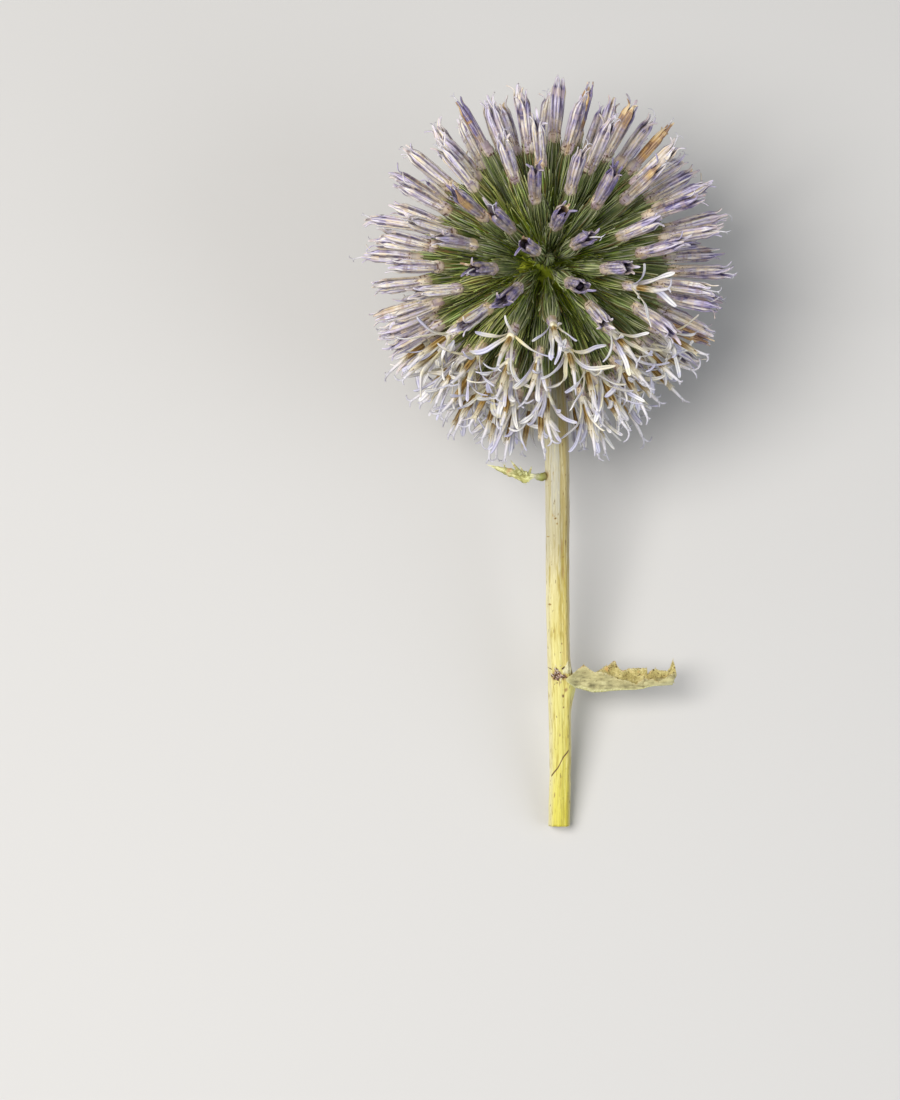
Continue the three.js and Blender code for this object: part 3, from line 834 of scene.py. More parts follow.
def anther_material():
    """Amber brown with dark and golden streaks, cream at the frayed end. The anther tubes
    inside closed florets are near-black violet instead: painted shade in the corolla's mouth.
    """
    n = Nodes("anther", 0.45, 0.4)
    along, rib, strand, tint = n.grain()
    fine = n.noise((along * 4, rib * 2.5, strand * 71), 1.6, 4)
    # Painted shade: closed florets' anthers carry tint 0 and come out near-black violet, as the
    # dark inside of the corolla's mouth.
    mouth_shade = n.band(tint, 0.01, 0.0)
    body = n.ramp(
        fine + rib * 0.3 + strand * 0.1, (0.42, 0.035, 0.018, 0.007), (0.58, 0.16, 0.08, 0.014),
        (0.74, 0.34, 0.2, 0.042), (0.92, 0.56, 0.44, 0.18),
    )
    own = (strand - 0.5) * 0.45
    cream = n.band(along + own + fine * 0.5, 0.72, 1.1)
    return n.finished(
        n.mix(mouth_shade, n.mix(cream, body, (0.7, 0.64, 0.48)), (0.055, 0.04, 0.07)), fine, 0.5, 0.05
    )


def style_material():
    """White lilac, darkening to blue grey at the forked end; the darkening is partly painted shade.
    """
    n = Nodes("style", 0.45, 0.4)
    along, _, strand, tint = n.grain()
    fine = n.noise((along * 8, strand * 50, tint), 2.0, 3)
    shade = along + (fine - 0.5) * 0.5
    return n.finished(
        n.ramp(
            shade, (0.0, 0.85, 0.8, 0.68), (0.5, 0.78, 0.75, 0.78), (0.8, 0.7, 0.69, 0.74),
            (1.0, 0.48, 0.47, 0.54),
        ),
        fine, 0.3, 0.03,
    )


# ---- the head

SECTORS = 8


def sector_of(floret):
    """Florets are shared between pieces by where they stand round the head."""
    turn = math.atan2(floret.along[2], floret.along[0]) / TAU + 0.5
    return min(SECTORS - 1, int(turn * SECTORS))


# Where the dry brown florets show, as x and y of their corollas' middles, and how brown they are.
WITHERED = [(16.2, 17.0, 0.98), (6.0, 21.5, 0.95), (-13.0, 20.5, 0.94), (21.5, -11.5, 0.95)]
CROWDED = math.radians(110)  # below this, more florets stand between the others
CROWDED_IN_FRONT = math.radians(132)
COLLAR = [  # the lowest florets, close round the stem: degrees from its line, and round it
    (17, 85), (18, 108), (21, 52), (18, 140), (18, 172), (19, 212), (17, 260), (19, 298), (18, 338),
    (20, 18),
]
COLLAR_STRETCH = 1.065
LONGEST_STRETCH = 1.1  # of the one that lies over the stem
YOUNG_STRETCH = 0.8  # husks whose florets have not come out yet, short and in the gaps
YOUNG_SHARE = 0.16
COMPANION_SHARE = 0.85  # of the places between the crowded florets that hold one more
COMPANION_KEY, YOUNG_KEY = 40, 41
COLLAR_INDEX, YOUNG_INDEX = 300, 400
FRONT_FACE = 0.3  # florets that face up more than this are in front
COLLAR_CLEARANCE = math.cos(math.radians(6))
STYLED_SHARE = 0.45  # of the closed florets whose style shows
COROLLA_OUT = 23  # the middle of a corolla
BACK_PENALTY = 9  # keeps the withered florets on the upper side
YOUNG_IN_FRONT = (math.radians(91.5), math.radians(90.5))
FRESH_IN_FRONT = (math.radians(98.9), math.radians(113.9))
FRESH_STRETCH = 0.62
OPEN_STYLE_FOOT, OPEN_STYLE_RADII = 24.2, (0.34, 0.2)
CLOSED_STYLE_FOOT, CLOSED_STYLE_TIP, CLOSED_STYLE_RADII = 25.0, (26.6, 27.9), (0.13, 0.09)


def placed_florets():
    florets = [Floret(index) for index in range(FLORET_PLACES)]
    between = [Floret(index + 0.5) for index in range(FLORET_PLACES)]
    for floret in between:
        in_front = floret.along[2] > FRONT_FACE and floret.polar < CROWDED_IN_FRONT
        spare = draw(floret.index, COMPANION_KEY) < COMPANION_SHARE
        if floret.polar > CROWDED and not in_front and spare:
            florets.append(floret)
    florets = [f for f in florets if f.polar < math.pi - STEM_GAP]
    for number, (tilt, turn) in enumerate(COLLAR):
        low = Floret(COLLAR_INDEX + number, math.pi - math.radians(tilt), math.radians(turn))
        low.stretch = COLLAR_STRETCH if number else LONGEST_STRETCH
        low.openness = 0.25 + 0.3 * draw(low.index, 6)
        florets = [f for f in florets if f.along @ low.along < COLLAR_CLEARANCE] + [low]
    young = [f for f in between if f.polar < CROWDED and draw(f.index, YOUNG_KEY) < YOUNG_SHARE]
    fresh = Floret(YOUNG_INDEX + 1, *FRESH_IN_FRONT)
    young += [Floret(YOUNG_INDEX, *YOUNG_IN_FRONT), fresh]
    for floret in young:
        floret.young, floret.open, floret.stretch = True, False, YOUNG_STRETCH
    fresh.stretch, fresh.tint = FRESH_STRETCH, 0.0
    for x, y, tint in WITHERED:
        gaps = [
            math.hypot(COROLLA_OUT * f.along[0] - x, COROLLA_OUT * f.along[1] - y)
            + BACK_PENALTY * (f.along[2] < 0)
            for f in florets
        ]
        floret = florets[int(np.argmin(gaps))]
        floret.withered, floret.open, floret.tint = True, False, tint
    return florets + young


def build_head():
    florets = placed_florets()
    husks = [Batch() for _ in range(SECTORS)]
    corollas = [Batch() for _ in range(SECTORS)]
    lobes, anthers, styles = [Batch() for _ in range(2)], Batch(), Batch()
    for floret in florets:
        sector = sector_of(floret)
        add_husk(husks[sector], floret)
        if floret.young:
            continue
        if floret.open:
            add_knuckle(corollas[sector], floret, OPEN_KNUCKLE)
            petals = lobes[sector * 2 // SECTORS]
            add_tube(petals, floret)
            for number in range(PETALS):
                add_lobe(petals, floret, number)
            add_anther_tube(anthers, floret, floret.rng.uniform(*ANTHER_TIP))
            end = STYLE_TIP - floret.rng.uniform(0.7, 2.8)
            fork = floret.rng.uniform(1.1, 1.9)
            add_style(styles, floret, OPEN_STYLE_FOOT, end, OPEN_STYLE_RADII, fork)
        else:
            add_closed_corolla(corollas[sector], anthers, floret)
            if not floret.pressed and floret.rng.uniform() < STYLED_SHARE:
                end = floret.rng.uniform(*CLOSED_STYLE_TIP)
                add_style(styles, floret, CLOSED_STYLE_FOOT, end, CLOSED_STYLE_RADII, 1.0)
    add_core(husks[0])
    husk, corolla = husk_material(), corolla_material()
    for k in range(SECTORS):
        husks[k].piece(f"husks_{k + 1}", husk, "husk", "head")
        corollas[k].piece(f"corollas_{k + 1}", corolla, "floret", "head")
    lobe = lobe_material()
    for k, batch in enumerate(lobes):
        batch.piece(f"open_petals_{k + 1}", lobe, "floret", "head")
    anthers.piece("anthers", anther_material(), "anther", "head")
    styles.piece("styles", style_material(), "floret", "head")


CORE_SEED = 7


def add_core(batch):
    """The receptacle, pitted between the florets' roots."""
    polar = np.linspace(0.05, math.pi - 0.05, 30)
    turn = turns(40)
    radius = CORE_RADIUS + np.random.RandomState(CORE_SEED).normal(0, 0.12, (30, 40))
    rings = np.stack([
        radius * np.sin(polar)[:, None] * np.cos(turn),
        radius * np.cos(polar)[:, None] * np.ones(40),
        radius * np.sin(polar)[:, None] * np.sin(turn),
    ], axis=-1)
    batch.tube(rings, 0.18, 0.0, 0.3, 0.2)


# ---- stem

STEM_LINE = np.array([
    [0.2, -6.7, 0], [0.9, -14, 0], [1.5, -24, 0], [1.7, -36, 0], [1.72, -50, 0.3],
    [1.93, -62, 0.4], [2.1, -72, 0.2], [1.95, -STEM_LENGTH, 0],
])


def stem_middle(y):
    """Middle of the stem at a level: a smooth line through the same points as the solid's."""
    down, level = -STEM_LINE[:, 1], -np.asarray(y, float)
    slopes = np.gradient(STEM_LINE[:, [0, 2]], down, axis=0)
    cell = np.clip(np.searchsorted(down, level) - 1, 0, len(down) - 2)
    span = down[cell + 1] - down[cell]
    t = ((level - down[cell]) / span)[..., None]
    span = span[..., None]
    a, b = STEM_LINE[cell][..., [0, 2]], STEM_LINE[cell + 1][..., [0, 2]]
    return (
        (2 * t ** 3 - 3 * t ** 2 + 1) * a + (t ** 3 - 2 * t ** 2 + t) * slopes[cell] * span
        + (3 * t ** 2 - 2 * t ** 3) * b + (t ** 3 - t ** 2) * slopes[cell + 1] * span
    )


def stem_radius(y, angle):
    neck = smoothstep(-y, 6, 26)
    slim = smoothstep(-y, 26, STEM_LENGTH)
    plain = STEM_TOP_RADIUS + (STEM_NECK_RADIUS - STEM_TOP_RADIUS) * neck
    plain = plain + (STEM_END_RADIUS - STEM_NECK_RADIUS) * slim
    ribs = 1 + STEM_RIB_DEPTH * np.cos(STEM_RIBS * angle)
    node = NODE_BULGE * np.exp(-((y - NODE_Y) / NODE_SPREAD) ** 2)
    return plain * ribs + node * np.clip(np.cos(angle), 0, 1) ** 2


def wander(values, seed, waves, size):
    """A smooth repeatable unevenness: a few sines with drawn phases."""
    rng = np.random.RandomState(seed)
    total = np.zeros_like(values)
    for wave in waves:
        total = total + size * rng.uniform(0.5, 1) * np.sin(wave * values + rng.uniform(0, TAU))
    return total


# Dark places on the stem's upper side: x, y, half width, half height, and how dark. Most are the
#  stem's own spots; the one at (2.6, -60.85) is painted shadow in the pit of the leaf's axil.
STEM_SPOTS_AND_SHADOW = [
    (2.5, -63.7, 0.13, 0.2, 1), (2.55, -65.4, 0.09, 0.12, 0.8), (1.35, -37.5, 0.16, 0.12, 1),
    (1.6, -38.3, 0.1, 0.1, 1), (1.2, -37.2, 0.06, 0.1, 0.7), (0.95, -37.0, 0.05, 0.3, 0.6),
    (0.25, -40.2, 0.2, 0.07, 0.5), (1.0, -30.9, 0.05, 0.25, 0.6), (2.3, -56.0, 0.1, 0.1, 0.7),
    (1.1, -54.2, 0.07, 0.3, 0.6), (2.1, -57.3, 0.08, 0.08, 0.7), (2.6, -60.85, 0.34, 0.4, 0.95),
    (1.5, -60.8, 0.6, 0.55, 0.8), (1.9, -61.9, 0.06, 0.6, 0.6), (0.5, -50.2, 0.25, 0.1, 0.7),
    (2.0, -69.5, 0.07, 0.25, 0.6), (1.2, -78.4, 0.08, 0.35, 0.6), (0.05, -31.2, 0.4, 0.8, 0.35),
    (2.3, -41.8, 0.16, 1.6, 0.4), (2.5, -43.2, 0.1, 0.12, 1), (2.45, -45.4, 0.25, 1.3, 0.35),
    (1.9, -47.5, 0.1, 1.2, 0.3), (1.1, -67.0, 0.08, 0.9, 0.35), (2.9, -62.8, 0.25, 0.3, 0.5),
]
CRACK = (np.array([0.75, -75.7]), np.array([3.35, -71.6]))
CRACK_HALF_WIDTH = 0.07
SPOT_DEPTH = 0.07
STEM_SPAN = 90  # how far down the stem its first mark reaches 1
STEM_SIDES = 96
CUT_SEED = 23
CUT_RINGS = [(0.965, 0.0), (0.9, -0.06), (0.75, 0.05), (0.5, 0.12), (0.25, 0.2)]  # size, hollow


def stem_spots_and_shadow(x, y, z, middle_z):
    """How dark a point of the stem's upper side is, 0 to 1."""
    dark = np.zeros_like(x)
    for spot_x, spot_y, wide, high, strength in STEM_SPOTS_AND_SHADOW:
        ragged = 1 + 0.35 * np.sin(9 * x + 5 * y)
        near = ((x - spot_x) / wide) ** 2 + ((y - spot_y) / high) ** 2
        dark = np.maximum(dark, strength * np.exp(-near * ragged))
    start, end = CRACK
    run = (end - start) / np.linalg.norm(end - start)
    off = (x - start[0]) * -run[1] + (y - start[1]) * run[0] + 0.06 * np.sin(4 * x + 1)
    inside = (x > start[0]) & (x < end[0])
    dark = np.maximum(dark, inside * np.exp(-(off / CRACK_HALF_WIDTH) ** 2))
    return dark * (z > middle_z)


def build_stem():
    batch = Batch()
    y = -np.concatenate([
        np.linspace(6.7, 36, 80), np.arange(36.15, 58, 0.15), np.arange(58.1, 66, 0.12),
        np.arange(66.2, 71.2, 0.3), np.arange(71.3, 76.2, 0.1), np.linspace(76.4, STEM_LENGTH, 20),
    ])
    level, turn = np.meshgrid(y, turns(STEM_SIDES), indexing="ij")
    radius = stem_radius(level, turn)
    radius = radius + 0.022 * np.sin(23 * turn + wander(level, 3, (0.3, 0.7), 1.2))
    radius = radius + 0.014 * np.sin(37 * turn + wander(level, 5, (0.5, 1.1), 1.5))
    radius = radius + wander(level, 8, (0.35, 0.9, 2.1), 0.016)
    mid_x, mid_z = np.moveaxis(stem_middle(level), -1, 0)
    east, front = np.cos(turn), np.sin(turn)
    x, z = mid_x + radius * east, mid_z + radius * front
    dark = stem_spots_and_shadow(x, level, z, mid_z)
    sunk = 1 - SPOT_DEPTH * dark / np.maximum(radius, 0.1)
    x, z = mid_x + (x - mid_x) * sunk, mid_z + (z - mid_z) * sunk
    rings = [np.stack([x, level, z], axis=-1)]
    marks = [marks_of(-level / STEM_SPAN, east * 0.5 + 0.5, front * 0.5 + 0.5, dark)]
    x, z, mid_x, mid_z, east, front = (v[-1:] for v in (x, z, mid_x, mid_z, east, front))
    rng = np.random.RandomState(CUT_SEED)
    for size, hollow in CUT_RINGS:
        y = -STEM_LENGTH + hollow + rng.normal(0, 0.03, (1, STEM_SIDES))
        end_x, end_z = mid_x + (x - mid_x) * size, mid_z + (z - mid_z) * size
        rings.append(np.stack([end_x, y, end_z], axis=-1))
        marks.append(marks_of(1.0, east * size * 0.5 + 0.5, front * size * 0.5 + 0.5, 0.0))
    batch.tube(np.concatenate(rings), *np.moveaxis(np.concatenate(marks), -1, 0))
    batch.piece("stem_skin", stem_material(), "stem", "stem")
    build_axil()


AXIL_BUDS = [  # foot, middle, tip, half width, strand mark
    ((3.0, -60.75, 1.2), (2.98, -59.8, 1.75), (3.2, -58.45, 1.35), 0.36, 0.3),
    ((2.62, -60.7, 1.4), (2.6, -60.0, 1.85), (2.85, -59.1, 1.5), 0.2, 0.9),
    ((3.3, -60.9, 0.9), (3.42, -60.0, 1.3), (3.4, -58.7, 1.05), 0.24, 0.5),
]
AXIL_SEED, AXIL_SCALES = 31, 70


def build_axil():
    """What sits in the leaf's axil: a pale pointed bud, and the dried scales beside it."""
    buds = Batch()
    share = np.linspace(0, 1, 14)
    across = np.sin(turns(14)) * 0.5 + 0.5
    for foot, middle, tip, half, strand in AXIL_BUDS:
        path = bowed(foot, middle, tip, share)
        width = half * np.sin(math.pi * (0.12 + 0.86 * share) ** 0.8) ** 0.8 + 0.02
        buds.tube(sweep(path, tapered(14, width, 0.6), UP), share[:, None], across, strand, 0.2)
    rng = np.random.RandomState(AXIL_SEED)
    for _ in range(AXIL_SCALES):
        x, y = rng.normal(1.65, 0.38), rng.normal(-60.6, 0.48)
        middle = stem_middle(np.array(y))
        lift = math.sqrt(max(0.1, 1.6 ** 2 - (x - middle[0]) ** 2))
        foot = np.array([x, y, middle[1] + lift - 0.05])
        east, north = rng.normal(0.25, 0.8), rng.normal(0.5, 0.9)
        aim = unit(np.array([east, north, abs(rng.normal(0.25, 0.3))]))
        size = rng.uniform(0.3, 0.85)
        s = np.linspace(0, 1, 6)[:, None]
        path = foot + s * size * aim + s ** 2 * size * 0.4 * np.array([0, 0, -0.4])
        half = rng.uniform(0.05, 0.13) * np.array([0.6, 1, 1, 0.8, 0.5, 0.15])
        buds.tube(sweep(path, tapered(6, half, 0.4), UP), s, 0.5, rng.uniform(), 0.9)
    buds.piece("axil_buds", bud_material(), "leaf", "stem")


def bud_material():
    """Pale dry bud scales with a dark edge, and brown dried ones."""
    n = Nodes("bud", 0.55, 0.35)
    along, across, strand, kind = n.grain()
    fine = n.noise((along * 4, across * 9, strand * 51), 1.5, 4)
    pale = n.mix(n.band(fine, 0.35, 0.65), (0.46, 0.42, 0.2), (0.84, 0.8, 0.52))
    edge = n.band(across + fine * 0.15, 0.18, 0.0)
    brown = n.ramp(
        strand * 0.8 + fine * 0.3, (0.15, 0.05, 0.02, 0.012), (0.45, 0.22, 0.1, 0.06),
        (0.7, 0.5, 0.36, 0.3), (0.95, 0.8, 0.72, 0.6),
    )
    pale = n.layers(pale, (edge * 0.8, (0.07, 0.045, 0.012)), (n.band(kind, 0.4, 0.6), brown))
    return n.finished(pale, fine, 0.5, 0.05)


def stem_material():
    """Pale straw, greyer at the top and yellower down, with ochre streaks and brown specks.
    Its left side is paler and its right side ochre and darker at the rim: partly its own colour,
    partly painted light and shade. One dark mark in the leaf's axil is painted shadow.
    """
    n = Nodes("stem", 0.5, 0.4)
    along, east, front, spot_and_shadow = n.grain()

    def around(k, length):
        return n.vector(east * k, front * k, along * length)

    fibre = n.noise(around(15, 7), 2.4, 5, 0.6)
    broad = n.noise(around(2.4, 9), 1.6, 3)
    base = n.ramp(
        along, (0.3, 0.58, 0.53, 0.34), (0.5, 0.65, 0.58, 0.3), (0.6, 0.66, 0.59, 0.2),
        (0.72, 0.68, 0.62, 0.19), (0.9, 0.66, 0.6, 0.08),
    )
    # ochre_and_shade is laid on the stem's right side: partly the stem's own ochre, partly painted
    # shade on the side away from the light.
    ochre_and_shade = n.ramp(
        along, (0.36, 0.53, 0.41, 0.13), (0.46, 0.46, 0.33, 0.045), (0.54, 0.46, 0.35, 0.04),
        (0.64, 0.7, 0.56, 0.18), (0.76, 0.62, 0.54, 0.1), (0.9, 0.52, 0.45, 0.03),
    )
    rightward = east * 0.6 + broad * 0.9
    straw = n.mix(n.band(rightward, 0.72, 0.92) * 0.8, base, ochre_and_shade)
    off_middle = abs(east + broad * 0.15 - 0.48)
    grey = n.band(off_middle, 0.23, 0.16) * n.band(along, 0.44, 0.38)
    edge = n.band(east, 0.26, 0.05)
    light = n.ramp(
        along, (0.5, 0.84, 0.8, 0.46), (0.62, 0.85, 0.8, 0.38), (0.8, 0.85, 0.8, 0.36),
        (0.9, 0.83, 0.77, 0.16),
    )
    streak = n.noise(around(5, 16), 1.8, 3)
    low = n.band(along, 0.42, 0.5) * 0.4 + 0.3
    node = n.band(abs(along - 0.695), 0.03, 0.008) * n.band(east, 0.72, 0.92)
    dim = n.ramp(along, (0.36, 0.77, 0.77, 0.81), (0.46, 0.75, 0.75, 0.79), (0.53, 1.0, 1.0, 1.0))
    speck = n.noise((east * 9, front * 9, along * 60), 1.0, 2)
    pith = n.mix(n.band(fibre, 0.4, 0.6), (0.62, 0.5, 0.26), (0.86, 0.8, 0.6))
    straw = n.layers(
        straw,
        (grey * 0.9, (0.56, 0.54, 0.42)),
        # Pale cream along the stem's left side, which faces the light: partly its own colour,
        # partly painted highlight. Darker brown grey along its right edge: painted shade.
        (edge * 0.65, (0.84, 0.79, 0.55)),
        (n.band(east, 0.9, 0.99) * 0.5, (0.55, 0.46, 0.36)),
        (n.band(fibre, 0.52, 0.64) * 0.55, light),
        (n.band(fibre, 0.47, 0.34) * 0.65, (0.4, 0.31, 0.07)),
        (n.band(streak, 0.55, 0.66) * low, (0.44, 0.34, 0.05)),
        (n.band(streak, 0.42, 0.34) * 0.4, light),
        (node * 0.6, (0.56, 0.56, 0.17)),
        (1.0, dim, "MULTIPLY"),
        (n.band(speck, 0.66, 0.71) * 0.7, (0.17, 0.1, 0.03)),
        # The stem's own spots and crack, and the painted shadow in the leaf's axil, brown to near
        # black.
        (
            n.band(spot_and_shadow, 0.05, 0.4),
            n.mix(n.band(spot_and_shadow, 0.35, 0.8), (0.36, 0.24, 0.07), (0.09, 0.055, 0.015)),
        ),
        (n.band(along, 0.95, 0.97), pith),
    )
    return n.finished(straw, fibre, 0.5, 0.06)


# ---- leaf

# The folded leaf, seen from its side: x, the keel, and the upper edges of both halves.
KEEL_X = [
    2.9, 4.2, 5.0, 5.8, 6.9, 8.3, 9.9, 11.5, 13.2, 14.4, 15.0, 16.0, 17.1, 18.7, 18.8, 19.0, 19.3,
]
KEEL_Y = [
    -61.5, -62.55, -62.7, -62.95, -63.25, -63.2, -63.0, -62.9, -62.85, -62.7, -62.5, -62.3, -62.25,
    -62.15, -61.9, -61.3, -60.8,
]
FRONT_X = [
    2.9, 3.6, 4.7, 5.55, 6.8, 7.3, 8.0, 8.9, 9.9, 10.8, 12.0, 12.8, 13.3, 13.8, 14.9, 15.1, 15.7,
    16.5, 17.3, 17.9, 18.4, 18.8, 19.1, 19.3,
]
FRONT_Y = [
    -61.1, -60.65, -59.75, -59.1, -60.05, -60.2, -60.1, -60.35, -60.9, -61.3, -61.5, -61.8, -62.0,
    -61.5, -61.1, -61.3, -61.2, -61.6, -61.3, -60.9, -60.5, -60.6, -61.1, -61.3,
]
BACK_X = [
    2.9, 3.6, 4.7, 5.6, 6.8, 7.3, 7.9, 8.3, 8.65, 9.2, 9.7, 9.95, 10.3, 10.5, 10.95, 11.5, 12.3,
    13.3, 14.98, 15.06, 15.13, 15.25, 15.65, 16.2, 16.8, 17.95, 18.35, 18.6, 18.82, 18.95, 19.15,
    19.3,
]
BACK_Y = [
    -61.2, -60.7, -60.2, -59.6, -60.2, -60.3, -59.97, -59.75, -59.4, -59.3, -58.95, -58.65, -58.65,
    -59.15, -59.85, -60.05, -59.72, -59.66, -59.66, -60.6, -60.6, -60.25, -59.95, -59.72, -59.98,
    -60.05, -59.6, -58.95, -58.38, -58.8, -59.5, -60.6,
]
SPINES = [  # foot and tip of the leaf's spines
    ((5.5, -59.4, 0.9), (5.6, -58.95, 1.0)), ((8.5, -60.0, -0.6), (8.45, -59.45, -0.7)),
    ((8.95, -59.7, -0.8), (9.0, -59.05, -0.95)), ((9.7, -59.3, -0.9), (9.75, -58.75, -1.0)),
    ((10.15, -59.1, -0.9), (10.3, -58.5, -1.0)), ((14.75, -59.9, -0.7), (14.95, -59.5, -0.75)),
    ((16.2, -59.9, -0.6), (16.25, -59.5, -0.7)), ((18.75, -58.9, -0.5), (18.86, -58.2, -0.4)),
    ((18.8, -61.6, 0.3), (19.05, -61.95, 0.4)), ((12.9, -61.5, 0.9), (12.85, -61.2, 1.1)),
]
# Painted shadow lines along creases of the blade, as where along it they cross level 0, how they
# lean, and their reach.
LEAF_CREASE_SHADOWS = [(0.835, -0.2, 0.47, 0.83), (0.69, -0.08, 0.22, 0.5)]
LEAF_THICKNESS = 0.2
LEAF_FOOT, LEAF_REACH = 2.9, 16.1  # x where the blade starts, and its length for the first mark
LEAF_LEVEL, LEAF_RISE = -64, 6  # y where the fourth mark is 0, and over what it reaches 1
LEAF_LEAN, LEAF_HEIGHT = 0.34, 0.35
FRONT_CLASP, BACK_CLASP = 1.75, 0.9  # how far each half stands up round the stem
LEAF_LEAST_RISE = 0.04  # a half blade's least width, where its edge meets the keel at the tip


def leaf_crumple(x, height):
    """How far the blade stands off its plane at a place: creases, swelling towards the edge."""
    soft = wander(x, 41, (0.9, 1.7, 2.6), 0.13) + wander(x + 1.3 * height, 43, (3.1, 4.3), 0.07)
    return soft * np.clip(height / 1.5, 0, 1) + wander(2 * x - 3 * height, 47, (2.9,), 0.05)


def fold(front_out, front_in, back_in, back_out):
    """One loop of columns: up the front half's outer face, down its inner one to the keel, up
    the back half's inner face and down its outer one."""
    return np.concatenate(
        [front_out, front_in[:, ::-1], back_in[:, 1:], back_out[:, ::-1][:, :-1]], axis=1
    )


def build_leaf():
    batch = Batch()
    x = np.concatenate([np.linspace(LEAF_FOOT, 8, 60), np.linspace(8.05, 19.3, 200)])
    keel = np.interp(x, KEEL_X, KEEL_Y)
    ragged = wander(x, 53, (9, 17, 29), 0.035)
    front = np.interp(x, FRONT_X, FRONT_Y) + ragged
    back = np.interp(x, BACK_X, BACK_Y) + 0.8 * ragged[::-1]
    share = np.array([0, 0.06, 0.15, 0.28, 0.42, 0.56, 0.7, 0.82, 0.92, 1])[None]

    def half(edge, side):
        """One half blade's points from the keel to its edge: on the outer and the inner face."""
        rise = np.maximum(edge - keel, LEAF_LEAST_RISE)[:, None] * share
        lean = side * LEAF_LEAN * rise ** 0.9
        bulge = leaf_crumple(x[:, None] + (0 if side > 0 else 5), rise) * (0.3 + 0.7 * share)
        clasp = FRONT_CLASP if side > 0 else BACK_CLASP
        clasp = clasp * np.exp(-(((x - LEAF_FOOT) / 1.25) ** 2))
        z = LEAF_HEIGHT + lean + bulge + clasp[:, None]
        thin = LEAF_THICKNESS * (1 - 0.5 * share) / 2 * side
        along_x = np.broadcast_to(x[:, None], rise.shape)
        y = keel[:, None] + rise
        return (
            np.stack([along_x, y, z + thin], axis=-1),
            np.stack([along_x, y + 0.12 * (1 - share), z - thin], axis=-1),
        )

    front_out, front_in = half(front, 1)
    back_out, back_in = half(back, -1)
    rings = fold(front_out, front_in, back_in, back_out)
    up = fold(share, share, share, share)
    face = fold(*(np.full_like(share, mark) for mark in (0.0, 0.35, 0.65, 1.0)))
    level = (rings[..., 1] - LEAF_LEVEL) / LEAF_RISE
    batch.tube(rings, (x[:, None] - LEAF_FOOT) / LEAF_REACH, up, face, level)
    section = tapered(5, [0.1, 0.08, 0.06, 0.04, 0.012])
    for foot, tip in SPINES:
        path = straight(foot, tip, np.linspace(0, 1, 5))
        batch.tube(sweep(path, section, UP), 0.5, 1.0, 0.5, 0.95)
    batch.piece("leaf_blade", leaf_material(), "leaf", "leaf")


def leaf_material():
    """Dry sage-grey outside, yellower and brown-spotted inside and along the cut edge, with painted
    shadow lines along two creases.
    """
    n = Nodes("leaf", 0.65, 0.25)
    along, up, face, level = n.grain()
    place = n.vector(along * 16, level * 6, face * 9)
    cloud = n.noise(place, 0.75, 4, 0.6)
    fine = n.noise(place, 5, 4, 0.6)
    streaky = n.noise((along * 9, level * 11, face * 5), 1.1, 4, 0.6)
    outside = n.ramp(
        cloud * 0.35 + streaky * 0.65, (0.34, 0.14, 0.13, 0.06), (0.44, 0.31, 0.28, 0.14),
        (0.53, 0.48, 0.44, 0.22), (0.66, 0.68, 0.64, 0.35),
    )
    inside = n.ramp(
        cloud * 0.6 + fine * 0.4, (0.36, 0.21, 0.16, 0.05), (0.5, 0.44, 0.37, 0.13),
        (0.64, 0.68, 0.6, 0.27),
    )
    foot = n.band(along + cloud * 0.12, 0.14, 0.06)
    outside = n.layers(
        outside,
        (n.band(up, 0.4, 0.8) * 0.4, (0.56, 0.5, 0.24)),
        (foot * 0.85, (0.62, 0.58, 0.27)),
    )
    inner = n.band(face, 0.2, 0.3) * n.band(face, 0.8, 0.7)
    blade = n.mix(inner, outside, inside)
    keel = n.mix(n.band(fine, 0.4, 0.6), (0.48, 0.47, 0.19), (0.72, 0.7, 0.4))
    far = n.band(along, 0.8, 0.88) * n.band(up, 0.55, 0.25)
    edge = n.mix(n.band(fine, 0.4, 0.62), (0.46, 0.37, 0.15), (0.74, 0.7, 0.44))
    rust = n.noise((along * 5, up * 1.4, face), 1.7, 2)
    rusty = n.band(rust, 0.54, 0.64) * n.band(up + inner * 0.3, 0.8, 1.1)
    blade = n.layers(
        blade,
        (n.band(up, 0.2, 0.08) * 0.9, keel),
        (far * 0.75, (0.41, 0.39, 0.22)),
        (n.band(up, 0.85, 0.98) * 0.6, edge),
        (rusty * 0.8, (0.58, 0.34, 0.11)),
    )
    # Painted shadow: a thin dark line along each crease.
    for start, slope, low, high in LEAF_CREASE_SHADOWS:
        bent = along + cloud * 0.06
        bent = bent + fine * 0.045
        off = bent + level * slope - (start + 0.052)
        line = n.band(abs(off), 0.008, 0.001) * n.band(level, low, low + 0.05)
        line = line * n.band(level, high + 0.05, high)
        blade = n.mix(line * 0.7, blade, (0.15, 0.1, 0.035))
    spots = n.noise(place, 2.6, 1)
    spotted = n.band(spots, 0.63, 0.68) * (up * 0.7 + inner * 0.5)
    blade = n.mix(spotted, blade, (0.14, 0.095, 0.03))
    return n.finished(blade, cloud * 0.8 + fine * 0.4, 0.8, 0.14)


# ---- bract

